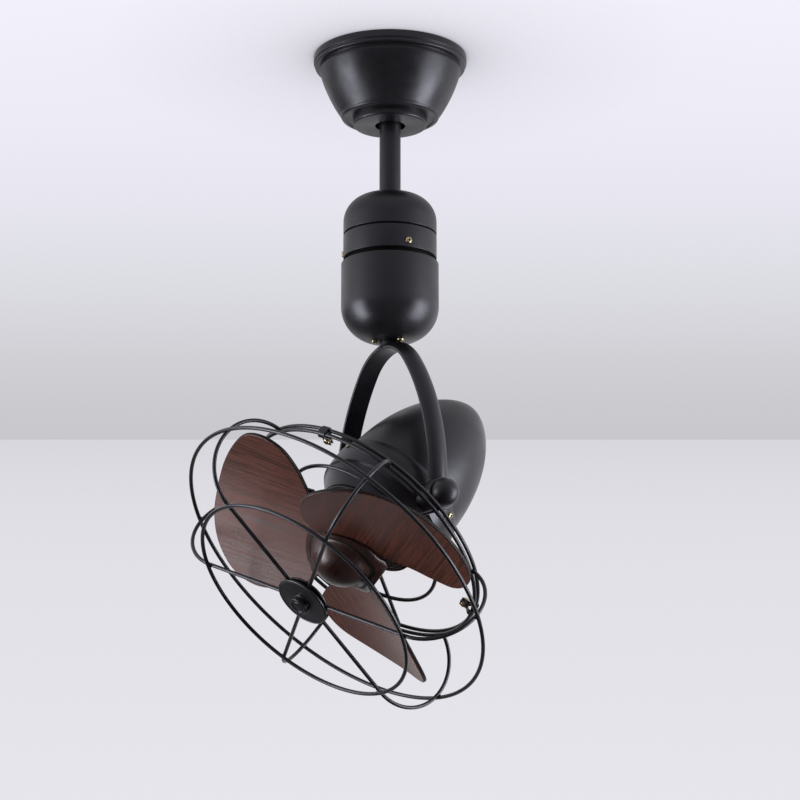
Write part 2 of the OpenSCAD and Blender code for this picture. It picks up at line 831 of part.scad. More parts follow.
module motor_can() {
    shoulder = bulge([can_r - 1.2, 10], [can_lip_r, can_front], 80);
    n = len(shoulder) - 1;
    outer = concat(
        [[can_r - 1.9, -can_back], [can_r - 0.5, -can_back + 5], [can_r, -can_back + 10],
         [can_r - 0.6, 0]],
        shoulder);
    inner = concat(
        [shoulder[n] - [can_wall, 0]],
        [for (i = [n - 1:-1:2]) shoulder[i] - [can_wall, 0.4 * can_wall]],
        [[can_bore_r, stack_front + 0.5], [can_bore_r, -can_back]]);
    color(black) in_head() difference() {
        rotate_extrude() polygon(concat(outer, inner));
        hood_screw_holes();
        translate([0, -head_offset, 0]) rotate([0, 90, 0])
            cylinder(r = stud_r + run_fit, h = 3 * can_r, center = true);
    }
}

module front_end_bell() {
    color(black) in_head() difference() {
        union() {
            rod(bell_r, bell_front - bell_t, bell_front);
            tube(bell_r - 1, bell_r - 1 - bell_wall, stack_front, bell_front - bell_t + 1);
            rod(boss_plate_r, bell_front - bell_t - 6, bell_front + 2);
        }
        rod(bearing_r + run_fit, bell_front - bell_t - 7, bell_front + 0.4);
        rod(shaft_r + 1, bell_front - 1, bell_front + 3);
        bell_screw_places() rod(1.5 + run_fit, bell_front - bell_t - 1, bell_front + 1);
    }
}

module rear_end_plate() {
    color(steel) in_head() difference() {
        union() {
            rod(plate_r, plate_back, plate_back + plate_t);
            tube(plate_r, plate_r - plate_wall, plate_back, stack_back);
            rod(boss_plate_r, plate_back - 6, plate_back + 1);
        }
        rod(bearing_r + run_fit, plate_back - 4, plate_back + plate_t + 1);
        rod(shaft_r + 1, plate_back - 7, plate_back);
    }
}

module stator_core() {
    slots = 18;
    color(steel) in_head() difference() {
        tube(stack_r, rotor_r + 0.5, stack_back, stack_front);
        for (k = [0:slots - 1])
            rotate([0, 0, k * 360 / slots]) translate([winding_r - 6, 0, 0])
                rod(3, stack_back - 1, stack_front + 1);
    }
}

module stator_windings() {
    color(copper) in_head() for (s = [stack_back - winding_len, stack_front])
        tube(winding_r, rotor_r + 2.5, s, s + winding_len);
}

module front_bearing() {
    color(steel) in_head() bearing(shaft_r, bearing_r, bell_front + 0.2, bearing_len);
}

module rear_bearing() {
    color(steel) in_head() bearing(shaft_r, bearing_r, plate_back + plate_t, bearing_len - 0.2);
}

module run_capacitor() {
    color(steel) in_head() translate([-16, boss_plate_r + 5, plate_back - 34])
        cube([32, 14, 34]);
}

module spokes(grow = 0) {
    for (a = spoke_angles)
        rotate([0, 0, a]) translate([guard_plate_r - 6, 0, spoke_s]) rotate([0, 90, 0])
            cylinder(r = wire_r + grow, h = spoke_end - guard_plate_r + 6);
}

module bell_screw_places() {
    for (a = clip_angles)
        rotate([0, 0, a]) translate([bell_screw_at, 0, 0]) children();
}

module rear_guard() {
    color(black) in_head() difference() {
        union() {
            tube(guard_plate_r, guard_plate_in, guard_plate_s, guard_plate_s + guard_plate_t);
            spokes();
        }
        bell_screw_places()
            rod(1.5 + run_fit, guard_plate_s - 1, guard_plate_s + guard_plate_t + wire_d);
    }
}

module rear_rings() {
    color(black) in_head() difference() {
        union() {
            ring_wire(guard_ring_r, guard_inner_s);
            ring_wire(rear_ring_r, guard_ring_s);
        }
        spokes(run_fit);
    }
}

module guard_screws() {
    color(brass) in_head() bell_screw_places()
        translate([0, 0, guard_plate_s + guard_plate_t]) screw(screw_head_r, 1.8, 1.5, 6);
}

module ribs(grow = 0) {
    r = wire_r + grow;
    for (k = [0:rib_count - 1]) rotate([0, 0, rib_start + k * 360 / rib_count]) {
        translate([rib_in, 0, cage_front]) rotate([0, 90, 0])
            cylinder(r = r - rib_step, h = rib_bend_at - rib_in + rib_lap);
        translate([rib_bend_at, 0, bend_s]) rotate([90, 0, 0]) rotate([0, 0, -90 + bend_end])
            rotate_extrude(angle = 180 - bend_end) translate([rib_bend_r, 0])
                circle(r = r, $fn = 24);
    }
}

module front_guard() {
    color(black) in_head() ribs();
}

module front_rings() {
    color(black) in_head() difference() {
        union() {
            ring_wire(front_ring_r, front_ring_s);
            ring_wire(big_ring_r, big_ring_s);
            ring_wire(rear_ring_r, rear_ring_s);
        }
        ribs(run_fit);
    }
}

module guard_clips() {
    color(black) in_head() difference() {
        for (a = clip_angles) rotate([0, 0, a])
            translate([clip_in, -clip_w / 2, clip_back])
                cube([clip_out - clip_in, clip_w, clip_front - clip_back]);
        for (s = [guard_ring_s, rear_ring_s])
            ring_wire(rear_ring_r, s, run_fit);
        for (a = clip_angles) rotate([0, 0, a]) translate([clip_screw_at, 0, 0])
            rod(1.6 + run_fit, clip_back - 1, clip_front + 1);
    }
}

module clip_screws() {
    color(brass) in_head() for (a = clip_angles)
        rotate([0, 0, a]) translate([clip_screw_at, 0, clip_front])
            screw(screw_head_r, 2.2, 1.6, clip_front - clip_back + 3);
}

module badge() {
    edge = 1;
    color(black) in_head() {
        rotate_extrude() polygon(concat(
            [[0, badge_s], [badge_r - edge, badge_s]],
            arc(badge_r - edge, badge_s + edge, edge, -90, 0, 4),
            arc(badge_r - edge, badge_s + badge_t - 1.4 - edge, edge, 0, 80, 4),
            [[button_r + 2, badge_s + badge_t], [button_r, badge_s + badge_t + 0.4],
             [button_r, button_top - 0.8], [button_r - 0.8, button_top], [0, button_top]]));
        rod(badge_stud_r, badge_plate_s - 1.5, badge_s + 1);
    }
}

module badge_plate() {
    color(black) in_head()
        tube(badge_plate_r, badge_stud_r + run_fit, badge_plate_s, badge_plate_s + badge_plate_t);
}

// Rotor

module motor_shaft() {
    color(steel) in_head() rod(shaft_r, plate_back - 3.5, shaft_end);
}

module rotor_core() {
    color(steel) in_head() tube(rotor_r, shaft_r + run_fit, stack_back, stack_front);
}

module blade_angle(k) {
    rotate([0, 0, k * 360 / blade_count]) children();
}

// outline of an arm of the carrier, along the blade and across it
function arm_outline() =
    [for (p = [[0.116, -0.217], [0.435, -0.362], [0.812, -0.522], [0.913, -0.478],
               [0.971, -0.348], [1, -0.058], [0.957, 0.145], [0.812, 0.246], [0.116, 0.217]])
        p * arm_len];

module blade_carrier() {
    color(black) in_head() difference() {
        union() {
            rod(carrier_r, carrier_back, carrier_front);
            for (k = [0:blade_count - 1]) blade_angle(k) translate([0, 0, arm_mid])
                rotate([atan(arm_slope), 0, 0]) translate([0, 0, -arm_t / 2])
                    linear_extrude(height = arm_t) polygon(arm_outline());
        }
        rod(shaft_r + run_fit, carrier_back - 12, carrier_front + 12);
        rod(carrier_r + 2, carrier_front, carrier_front + 12);
        for (k = [0:blade_count - 1]) blade_angle(k) arm_screw_places()
            cylinder(r = 1.5 + run_fit, h = 8, center = true);
    }
}

module arm_screw_places() {
    for (p = arm_screws) translate([0, 0, arm_mid]) rotate([atan(arm_slope), 0, 0])
        translate([p[0], p[1], 0]) children();
}

module blade_screws() {
    color(brass) in_head() for (k = [0:blade_count - 1]) blade_angle(k) arm_screw_places()
        translate([0, 0, -arm_t / 2]) rotate([180, 0, 0])
            screw(screw_head_r, 1.6, 1.5, arm_t + 3);
}

// a blade's outline along it and across it, from the tip round the leading side,
// in shares of the tip's radius and of the width
blade_points = [
    [1, 0.012], [0.972, 0.214], [0.92, 0.357], [0.81, 0.476], [0.635, 0.548], [0.44, 0.536],
    [0.265, 0.446], [0.14, 0.327], [0.085, 0.196], [0.13, 0.048], [0.16, -0.071],
    [0.28, -0.131], [0.41, -0.262], [0.5, -0.357], [0.635, -0.452], [0.79, -0.452],
    [0.915, -0.357], [0.98, -0.179]];

function blade_at(i) =
    let (n = len(blade_points), p = blade_points[(i + n) % n]) [p[0] * blade_r, p[1] * blade_w];

// smooth closed curve through the outline's points
function smooth_outline(steps) =
    [for (i = [0:len(blade_points) - 1]) for (j = [0:steps - 1])
        let (t = j / steps, a = blade_at(i - 1), b = blade_at(i), c = blade_at(i + 1),
             d = blade_at(i + 2))
        0.5 * (2 * b + (c - a) * t + (2 * a - 5 * b + 4 * c - d) * t * t
               + (3 * b - a - 3 * c + d) * t * t * t)];

// place of a point of the blade in the head's frame; side is 1 in front and -1 behind
function on_blade(p, side) =
    let (out = (p[0] - turn_at) / turn_span, turn = blade_pitch + blade_twist * out,
         q = p[1] / cup_half)
    [p[0], p[1] * cos(turn),
     blade_s + p[1] * sin(turn) - blade_cup * (1 - q * q) + blade_rake * out
         + side * blade_t / 2];

module blade(k) {
    edge = smooth_outline(3);
    n = len(edge);
    mid = [0.56 * blade_r, 0.036 * blade_w];
    rings = [0.3, 0.6, 0.85, 0.975, 1];
    m = len(rings);
    side_of = [1, -1];
    points = concat(
        [for (side = side_of) on_blade(mid, side)],
        [for (side = side_of) for (j = [0:m - 1]) for (p = edge)
            on_blade(mid + (p - mid) * rings[j], side * (j == m - 1 ? 0.45 : 1))]);
    faces = concat(
        [for (i = [0:n - 1]) [0, 2 + (i + 1) % n, 2 + i]],
        [for (i = [0:n - 1]) [1, 2 + m * n + i, 2 + m * n + (i + 1) % n]],
        [for (j = [0:m - 2]) for (i = [0:n - 1]) for (half = [0, 1])
            let (a = 2 + j * n + i, b = 2 + j * n + (i + 1) % n)
            half == 0 ? [a, b, a + n] : [b, b + n, a + n]],
        [for (j = [0:m - 2]) for (i = [0:n - 1]) for (half = [0, 1])
            let (a = 2 + (m + j) * n + i, b = 2 + (m + j) * n + (i + 1) % n)
            half == 0 ? [a, a + n, b] : [b, a + n, b + n]],
        [for (i = [0:n - 1]) for (half = [0, 1])
            let (a = 2 + (m - 1) * n + i, b = 2 + (m - 1) * n + (i + 1) % n, c = m * n)
            half == 0 ? [a, b, a + c] : [b, b + c, a + c]]);
    color(walnut) in_head() blade_angle(k) difference() {
        polyhedron(points = points, faces = faces);
        arm_screw_places() translate([0, 0, -arm_t])
            cylinder(r = 1.5 + run_fit, h = 2 * arm_t + 2);
    }
}

module blade_1() {
    blade(0);
}

module blade_2() {
    blade(1);
}

module blade_3() {
    blade(2);
}

// notch in the spinner's skirt that a blade's root passes through
module root_notch() {
    notch_in = 0.285 * spinner_r;
    notch_low = -0.8 * spinner_r;
    notch_high = 1.17 * spinner_r;
    notch_h = 2 * blade_cup;
    translate([0, 0, root_s]) rotate([atan(arm_slope), 0, 0])
        translate([notch_in, notch_low, -notch_h / 2])
            cube([spinner_r, notch_high - notch_low, notch_h]);
}

module spinner() {
    dome = [for (p = [[1, 0], [1, 0.208], [0.943, 0.442], [0.816, 0.675], [0.678, 0.805],
                      [0.448, 0.909], [0.218, 0.974], [0, 1]])
        [p[0] * spinner_r, spinner_back + p[1] * spinner_h]];
    n = len(dome);
    inner = [for (i = [n - 1:-1:0]) [max(0, dome[i][0] - spinner_wall),
        dome[i][1] - (i == 0 ? 0 : spinner_wall * i / (n - 1))]];
    color(walnut) in_head() difference() {
        union() {
            rotate_extrude() polygon(concat(dome, inner));
            tube(hub_nut_r + 3.2, hub_nut_r + 0.7, carrier_front + seat_gap,
                spinner_back + spinner_h - 1.35 * spinner_wall);
        }
        for (k = [0:blade_count - 1]) blade_angle(k) root_notch();
    }
}

module hub_nut() {
    color(steel) in_head() difference() {
        translate([0, 0, carrier_front]) cylinder(r = hub_nut_r, h = hub_nut_h, $fn = 6);
        rod(shaft_r + run_fit, carrier_front - 1, carrier_front + hub_nut_h + 1);
    }
}

ceiling_bracket();
canopy();
canopy_screws();
canopy_cover();
hanger_ball();
ball_pin();
downrod();
rod_coupling();
coupling_pin();
upper_cap();
band_ring();
band_screws();
base_cup();
spindle();
spindle_nut();
upper_bearing();
lower_bearing();
oscillation_motor();
drive_pinion();
slip_ring();
lower_housing();
housing_screws();
turning_hub();
turning_gear();
brush_block();
yoke();
yoke_nut();
rear_hood();
hood_screws();
motor_can();
front_end_bell();
rear_end_plate();
stator_core();
stator_windings();
front_bearing();
rear_bearing();
run_capacitor();
tilt_hub_right();
tilt_hub_left();
tilt_washers();
knob_right();
knob_left();
rear_guard();
rear_rings();
guard_screws();
front_guard();
front_rings();
guard_clips();
clip_screws();
badge();
badge_plate();
motor_shaft();
rotor_core();
blade_carrier();
blade_1();
blade_2();
blade_3();
blade_screws();
spinner();
hub_nut();
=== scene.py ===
import math

import bmesh
import bpy
from mathutils import Matrix, Vector


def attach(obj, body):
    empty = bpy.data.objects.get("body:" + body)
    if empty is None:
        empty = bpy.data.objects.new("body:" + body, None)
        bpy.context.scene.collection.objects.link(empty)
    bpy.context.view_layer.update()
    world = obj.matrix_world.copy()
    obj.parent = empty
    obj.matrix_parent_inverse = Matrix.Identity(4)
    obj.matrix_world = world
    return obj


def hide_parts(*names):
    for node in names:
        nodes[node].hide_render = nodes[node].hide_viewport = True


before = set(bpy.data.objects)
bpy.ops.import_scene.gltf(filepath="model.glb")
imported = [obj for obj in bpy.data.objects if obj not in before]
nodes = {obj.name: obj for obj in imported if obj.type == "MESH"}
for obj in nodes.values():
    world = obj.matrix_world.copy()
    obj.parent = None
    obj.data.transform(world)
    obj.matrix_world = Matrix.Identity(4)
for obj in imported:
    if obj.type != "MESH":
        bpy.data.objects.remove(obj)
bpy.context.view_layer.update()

scene = bpy.context.scene
print("frame loaded:", len(nodes), "nodes")

# lengths below are in millimetres; finishPiece brings each mesh to metres
millimetre = 0.001
upright = Matrix.Identity(4)
pivotHeight = -466.6
headTilt = 47.5
headOffset = 4.8
headPlace = (Matrix.Translation((0, 0, pivotHeight))
             @ Matrix.Rotation(math.radians(90 + headTilt), 4, "X")
             @ Matrix.Translation((0, headOffset, 0)))


# materials

# linear colour of a display colour given in 0 to 255
def linear(*levels):
    shares = [level / 255 for level in levels]
    return tuple(s / 12.92 if s <= 0.04045 else ((s + 0.055) / 1.055) ** 2.4
                 for s in shares) + (1,)


# links a socket, or sets a plain value
def plug(tree, node, inputs):
    for key, value in inputs.items():
        if isinstance(value, bpy.types.NodeSocket):
            tree.links.new(value, node.inputs[key])
        else:
            node.inputs[key].default_value = value


def add(tree, kind, inputs=None, **settings):
    made = tree.nodes.new(kind)
    for key, value in settings.items():
        setattr(made, key, value)
    plug(tree, made, inputs or {})
    return made


def newGroup(name, inputs, outputs):
    tree = bpy.data.node_groups.new(name, "ShaderNodeTree")
    for label, kind in inputs:
        tree.interface.new_socket(label, in_out="INPUT", socket_type=kind)
    for label, kind in outputs:
        tree.interface.new_socket(label, in_out="OUTPUT", socket_type=kind)
    return tree, tree.nodes.new("NodeGroupInput"), tree.nodes.new("NodeGroupOutput")


def spread(tree, value, low, high, fromLow=0.0, fromHigh=1.0):
    return add(tree, "ShaderNodeMapRange", {
        "Value": value, "From Min": fromLow, "From Max": fromHigh,
        "To Min": low, "To Max": high}).outputs["Result"]


def blendColours(tree, factor, first, second):
    return add(tree, "ShaderNodeMix", {0: factor, 6: first, 7: second},
               data_type="RGBA").outputs[2]


# fine orange peel and soft mottling
powderGroup, enter, leave = newGroup(
    "powder", [("Vector", "NodeSocketVector"), ("Grain", "NodeSocketFloat")],
    [("Height", "NodeSocketFloat"), ("Mottle", "NodeSocketFloat")])
peel = add(powderGroup, "ShaderNodeTexNoise", {
    "Vector": enter.outputs["Vector"], "Scale": enter.outputs["Grain"], "Detail": 2.0})
cloud = add(powderGroup, "ShaderNodeTexNoise", {
    "Vector": enter.outputs["Vector"], "Scale": 26.0, "Detail": 4.0, "Roughness": 0.6})
plug(powderGroup, leave, {"Height": peel.outputs[0],
                          "Mottle": spread(powderGroup, cloud.outputs[0], 0, 1, 0.35, 0.65)})

# wood grain along the X axis of its vector, which is in metres
grainGroup, enter, leave = newGroup(
    "grain", [("Vector", "NodeSocketVector"), ("Turn", "NodeSocketVector")],
    [("Streak", "NodeSocketFloat"), ("Band", "NodeSocketFloat"), ("Pore", "NodeSocketFloat")])
for label, along, across, detail, low, high in (
        ("Streak", 11.0, 420.0, 2.0, 0.36, 0.64), ("Band", 5.0, 70.0, 3.0, 0.3, 0.7),
        ("Pore", 36.0, 760.0, 1.0, 0.57, 0.68)):
    stretched = add(grainGroup, "ShaderNodeMapping", {
        "Vector": enter.outputs["Vector"], "Rotation": enter.outputs["Turn"],
        "Scale": (1 / along, 1 / across, 1 / along)}, vector_type="TEXTURE")
    waves = add(grainGroup, "ShaderNodeTexNoise", {
        "Vector": stretched.outputs[0], "Scale": 1.0, "Detail": detail, "Roughness": 0.62,
        "Distortion": 0.25})
    plug(grainGroup, leave, {label: spread(grainGroup, waves.outputs[0], 0, 1, low, high)})


paintLook = {"mottle": 1.35, "depth": 0.0004}
metalLook = {"marks": 120.0, "powder": 900.0, "tarnish": 0.6, "smoother": 0.1, "rougher": 0.12,
             "bump": 0.15, "depth": 0.0003}


def startMaterial(name):
    material = bpy.data.materials.new(name)
    material.use_nodes = True
    tree = material.node_tree
    return material, tree, tree.nodes["Principled BSDF"]


def addRelief(tree, shader, height, strength, depth):
    bump = add(tree, "ShaderNodeBump", {"Height": height, "Strength": strength,
                                        "Distance": depth})
    plug(tree, shader, {"Normal": bump.outputs[0]})


def paintLike(name, base, roughness, grain=1500.0, bump=0.12, metallic=0.0, worn=None,
              tint=(1, 1, 1), spreadBy=0.07):
    material, tree, shader = startMaterial(name)
    k = paintLook
    place = add(tree, "ShaderNodeTexCoord")
    powder = add(tree, "ShaderNodeGroup", {"Vector": place.outputs["Object"], "Grain": grain},
                 node_tree=powderGroup)
    second = worn or tuple(k["mottle"] * c for c in base)
    mottle = powder.outputs["Mottle"]
    plug(tree, shader, {
        "Base Color": blendColours(tree, mottle, base + (1,), second + (1,)),
        "Roughness": spread(tree, mottle, roughness - spreadBy, roughness + spreadBy),
        "Metallic": metallic, "Specular Tint": tint + (1,)})
    addRelief(tree, shader, powder.outputs["Height"], bump, k["depth"])
    return material


# bare metal with fine turning marks and a little tarnish
def brushed(name, base, roughness, across=2400.0):
    k = metalLook
    material, tree, shader = startMaterial(name)
    place = add(tree, "ShaderNodeTexCoord")
    marks = add(tree, "ShaderNodeMapping", {
        "Vector": place.outputs["Object"], "Scale": (k["marks"], k["marks"], across)})
    lines = add(tree, "ShaderNodeTexNoise", {"Vector": marks.outputs[0], "Scale": 1.0,
                                             "Detail": 3.0})
    powder = add(tree, "ShaderNodeGroup", {"Vector": place.outputs["Object"],
                                           "Grain": k["powder"]}, node_tree=powderGroup)
    tarnish = tuple(k["tarnish"] * c for c in base)
    plug(tree, shader, {
        "Base Color": blendColours(tree, powder.outputs["Mottle"], base + (1,), tarnish + (1,)),
        "Roughness": spread(tree, lines.outputs[0], roughness - k["smoother"],
                            roughness + k["rougher"]), "Metallic": 1.0})
    addRelief(tree, shader, lines.outputs[0], k["bump"], k["depth"])
    return material


woodLook = {"streakShare": 0.68, "poreShade": 0.4, "smoother": 0.05, "rougher": 0.07,
            "coatRoughness": 0.22, "reflection": (0.98, 0.86, 0.85, 1), "depth": 0.0002}


def wood(name, light, dark, roughness, turn, coat, relief, pores):
    k = woodLook
    material, tree, shader = startMaterial(name)
    place = add(tree, "ShaderNodeUVMap", uv_map="grain")
    grain = add(tree, "ShaderNodeGroup", {"Vector": place.outputs[0],
                                          "Turn": (0, 0, math.radians(turn))},
                node_tree=grainGroup)
    streaks = add(tree, "ShaderNodeMath", {0: grain.outputs["Streak"], 1: k["streakShare"]},
                  operation="MULTIPLY")
    shade = add(tree, "ShaderNodeMath", {
        0: grain.outputs["Band"], 1: 1 - k["streakShare"], 2: streaks.outputs[0]},
        operation="MULTIPLY_ADD")
    body = blendColours(tree, shade.outputs[0], dark + (1,), light + (1,))
    pored = blendColours(tree, spread(tree, grain.outputs["Pore"], 0, pores), body,
                         tuple(k["poreShade"] * c for c in dark) + (1,))
    plug(tree, shader, {
        "Base Color": pored, "Specular Tint": k["reflection"], "Coat Weight": coat,
        "Coat Roughness": k["coatRoughness"],
        "Roughness": spread(tree, grain.outputs["Streak"], roughness - k["smoother"],
                            roughness + k["rougher"])})
    addRelief(tree, shader, grain.outputs["Streak"], relief, k["depth"])
    return material


coolTint = (0.9, 0.9, 1)
paint = paintLike("satin_black", (0.005, 0.005, 0.0062), 0.39, bump=0.08, tint=coolTint)
wirePaint = paintLike("wire_black", (0.005, 0.005, 0.006), 0.33, grain=2600.0, bump=0.015,
                      tint=coolTint)
innerPaint = paintLike("inner_black", (0.006, 0.006, 0.007), 0.5, grain=1100.0, bump=0.2)
brass = paintLike("aged_brass", (0.68, 0.56, 0.35), 0.28, grain=900.0, metallic=1.0,
                  worn=(0.3, 0.22, 0.11), spreadBy=0.08)
steel = brushed("turned_steel", (0.56, 0.56, 0.58), 0.34)
zinc = paintLike("zinc_plate", (0.5, 0.51, 0.52), 0.42, grain=700.0, metallic=1.0,
                 worn=(0.36, 0.37, 0.38))
sheet = brushed("lamination", (0.34, 0.34, 0.36), 0.45, across=5200.0)
copper = brushed("copper_wire", (0.62, 0.25, 0.11), 0.36, across=7000.0)
shell = paintLike("capacitor_shell", (0.05, 0.052, 0.058), 0.45, grain=800.0)
fibre = paintLike("brush_fibre", (0.06, 0.035, 0.02), 0.6, grain=1200.0)
walnut = wood("walnut", (0.118, 0.033, 0.0185), (0.027, 0.0088, 0.006), 0.43, 20, 0.03, 0.1, 0.5)
spinnerWood = wood("dark_walnut", (0.034, 0.0117, 0.0088), (0.023, 0.0082, 0.0063), 0.35, 20, 0.2,
                   0.01, 0.15)
# dark paint of the blade edges, and painted shade in the spinner's gutter
darkEdgeAndShade = paintLike("sealed_edge_and_painted_shade", (0.0075, 0.0058, 0.0054), 0.55, grain=1300.0,
                      tint=(0.35, 0.34, 0.34))
# painted shade: a near-black, nearly unreflecting paint put in gaps and recesses and on the can's
# gap line, where shade falls
shadowBlack = paintLike("shadow_black", (0.0015, 0.0015, 0.0018), 0.8, tint=(0.2, 0.2, 0.2))

# finishes of the solids that are shown as they are
cadFinish = {
    zinc: ("ceiling_bracket", "ball_pin", "coupling_pin", "yoke_nut", "spindle_nut",
           "tilt_washers", "hub_nut", "oscillation_motor", "rear_end_plate"),
    steel: ("rod_coupling", "spindle", "upper_bearing", "lower_bearing", "turning_hub",
            "front_bearing", "rear_bearing", "motor_shaft"),
    innerPaint: ("hanger_ball", "blade_carrier"),
    # painted shade: the base cup, seen only in the gap under the band, is painted shadow black
    shadowBlack: ("base_cup",),
    brass: ("canopy_screws", "slip_ring", "turning_gear", "drive_pinion"),
    sheet: ("stator_core", "rotor_core"),
    copper: ("stator_windings",),
    shell: ("run_capacitor",),
    fibre: ("brush_block",)}
for material, names in cadFinish.items():
    for name in names:
        nodes[name].data.materials.clear()
        nodes[name].data.materials.append(material)
print("materials made")


# mesh helpers

def meshOf(bm, name):
    mesh = bpy.data.meshes.new(name)
    bm.to_mesh(mesh)
    bm.free()
    return mesh


def finishPiece(name, bm, place, body, materials, replaced, sharp=35):
    bmesh.ops.transform(bm, matrix=Matrix.Scale(millimetre, 4) @ place, verts=bm.verts)
    bmesh.ops.remove_doubles(bm, verts=bm.verts, dist=2e-6)
    bmesh.ops.recalc_face_normals(bm, faces=bm.faces)
    limit = math.radians(sharp)
    for edge in bm.edges:
        edge.smooth = not edge.is_manifold or edge.calc_face_angle(0) < limit
    for face in bm.faces:
        face.smooth = True
    mesh = meshOf(bm, name)
    for material in materials:
        mesh.materials.append(material)
    piece = bpy.data.objects.new(name, mesh)
    scene.collection.objects.link(piece)
    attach(piece, body)
    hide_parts(replaced)


# gives the second material, a painted shade, to faces whose centre (radius, height) is inside
def paintShade(bm, inside):
    for face in bm.faces:
        centre = face.calc_center_median()
        face.material_index = int(inside(math.hypot(centre.x, centre.y), centre.z))


# points of an arc, whose angles are in degrees
def arc(x, y, r, start, end, steps):
    angles = [math.radians(start + (end - start) * k / steps) for k in range(steps + 1)]
    return [Vector((x + r * math.cos(a), y + r * math.sin(a))) for a in angles]


# an arc of radius r from first to last that bulges away from the axis
def bulge(first, last, r, steps):
    first, last = Vector(first), Vector(last)
    along = (last - first).normalized()
    rise = math.sqrt(r * r - (last - first).length_squared / 4)
    centre = (first + last) / 2 + rise * Vector((along.y, -along.x))
    ends = [math.degrees(math.atan2(p.y - centre.y, p.x - centre.x)) for p in (first, last)]
    return arc(centre.x, centre.y, r, ends[0], ends[1], steps)


# points of a line whose corners (x, y, fillet radius) are rounded
def rounded(corners):
    points = []
    for i, (x, y, fillet) in enumerate(corners):
        here = Vector((x, y))
        if not fillet or i in (0, len(corners) - 1):
            points.append(here)
            continue
        back = Vector(corners[i - 1][:2]) - here
        ahead = Vector(corners[i + 1][:2]) - here
        half = back.angle(ahead) / 2
        reach = min(fillet / math.tan(half), 0.48 * back.length, 0.48 * ahead.length)
        radius = reach * math.tan(half)
        middle = (back.normalized() + ahead.normalized()).normalized()
        centre = here + middle * radius / math.sin(half)
        first = here + back.normalized() * reach - centre
        last = here + ahead.normalized() * reach - centre
        turn = math.atan2(first.x * last.y - first.y * last.x, first.dot(last))
        steps = max(3, math.ceil(abs(turn) / math.radians(14)))
        points += [centre + Matrix.Rotation(turn * k / steps, 2) @ first
                   for k in range(steps + 1)]
    return points


def placeNew(bm, old, place):
    bmesh.ops.transform(bm, matrix=place, verts=[v for v in bm.verts if v not in old])


# turns a line about the axis, and closes it first unless it starts or ends there
def lathe(bm, points, place=upright, steps=96):
    old = set(bm.verts)
    ring = [bm.verts.new((p[0], 0, p[1])) for p in points]
    ends = ring[1:] if 0 in (points[0][0], points[-1][0]) else ring[1:] + ring[:1]
    edges = [bm.edges.new(pair) for pair in zip(ring, ends)]
    bmesh.ops.spin(bm, geom=ring + edges, cent=(0, 0, 0), axis=(0, 0, 1),
                   angle=2 * math.pi, steps=steps, use_merge=True)
    placeNew(bm, old, place)


def extrudeLoop(bm, edges, move):
    made = bmesh.ops.extrude_edge_only(bm, edges=edges)["geom"]
    verts = [g for g in made if isinstance(g, bmesh.types.BMVert)]
    bmesh.ops.translate(bm, vec=move, verts=verts)
    ends = set(verts)
    return [g for g in made if isinstance(g, bmesh.types.BMEdge)
            and g.verts[0] in ends and g.verts[1] in ends]


def turnLoop(bm, edges, centre, axis, angle, steps):
    verts = list({v for edge in edges for v in edge.verts})
    made = bmesh.ops.spin(bm, geom=verts + edges, cent=centre, axis=axis,
                          angle=math.radians(angle), steps=steps)["geom_last"]
    return [g for g in made if isinstance(g, bmesh.types.BMEdge)]


def loopOf(bm, points):
    verts = [bm.verts.new(p) for p in points]
    return [bm.edges.new(pair) for pair in zip(verts, verts[1:] + verts[:1])]


def capEnds(bm):
    bmesh.ops.edgeloop_fill(bm, edges=[e for e in bm.edges if e.is_boundary])


def addCopy(bm, mesh, place):
    old = set(bm.verts)
    bm.from_mesh(mesh)
    placeNew(bm, old, place)


def aboutZ(angle):
    return Matrix.Rotation(math.radians(angle), 4, "Z")


def spot(x, y, z):
    return Matrix.Translation((x, y, z))


facingOut = Matrix.Rotation(math.radians(90), 4, "Y")
facingDown = Matrix.Rotation(math.radians(180), 4, "X")


# outwards along the tilt axis: side 1 is the right, -1 the left
def tiltAxis(side):
    return spot(0, 0, pivotHeight) @ Matrix.Scale(side, 4, (1, 0, 0)) @ facingOut


# cross-recess screw, drawn once and copied to every screw place
screw = {"headR": 3.3, "headH": 1.2, "flatR": 2.3, "crown": 0.5, "round": 1.9, "shankR": 1.5,
         "shank": 4, "armHalf": 2, "armWidth": 0.9, "recess": 1.0}


def screwMesh():
    k = screw
    bm = bmesh.new()
    top = k["headH"] + k["crown"]
    side = bulge((k["flatR"], top), (k["headR"], k["headH"] - 0.45), k["round"], 5)
    lathe(bm, side + [(k["headR"], 0), (k["shankR"], 0), (k["shankR"], -k["shank"]),
                      (0, -k["shank"])], steps=32)
    rim = loopOf(bm, [(p.x, p.y, top) for p in arc(0, 0, k["flatR"], 0, 360, 32)[:-1]])
    half, reach = k["armWidth"] / 2, k["armHalf"]
    corner = [(reach, -half), (reach, half), (half, half)]
    cross = []
    for turn in range(4):
        spun = Matrix.Rotation(math.radians(90 * turn), 2)
        cross += [spun @ Vector(p) for p in corner]
    slot = loopOf(bm, [(p.x, p.y, top) for p in cross])
    bmesh.ops.triangle_fill(bm, edges=rim + slot, use_beauty=True)
    floor = extrudeLoop(bm, slot, (0, 0, -k["recess"]))
    bmesh.ops.triangle_fill(bm, edges=floor, use_beauty=True)
    bmesh.ops.remove_doubles(bm, verts=bm.verts, dist=0.002)
    bmesh.ops.recalc_face_normals(bm, faces=bm.faces)
    # painted shade in the cross recess and on the hidden shank
    paintShade(bm, lambda r, z: r < reach and z < top - 0.05)
    return meshOf(bm, "screw")


lowScrew = screwMesh()
# brass heads with painted shade in their recesses
brassWithRecessShade = [brass, shadowBlack]


def screwHeads(name, spots, place, body, replaced):
    bm = bmesh.new()
    for screwSpot in spots:
        addCopy(bm, lowScrew, screwSpot)
    finishPiece(name, bm, place, body, brassWithRecessShade, replaced)


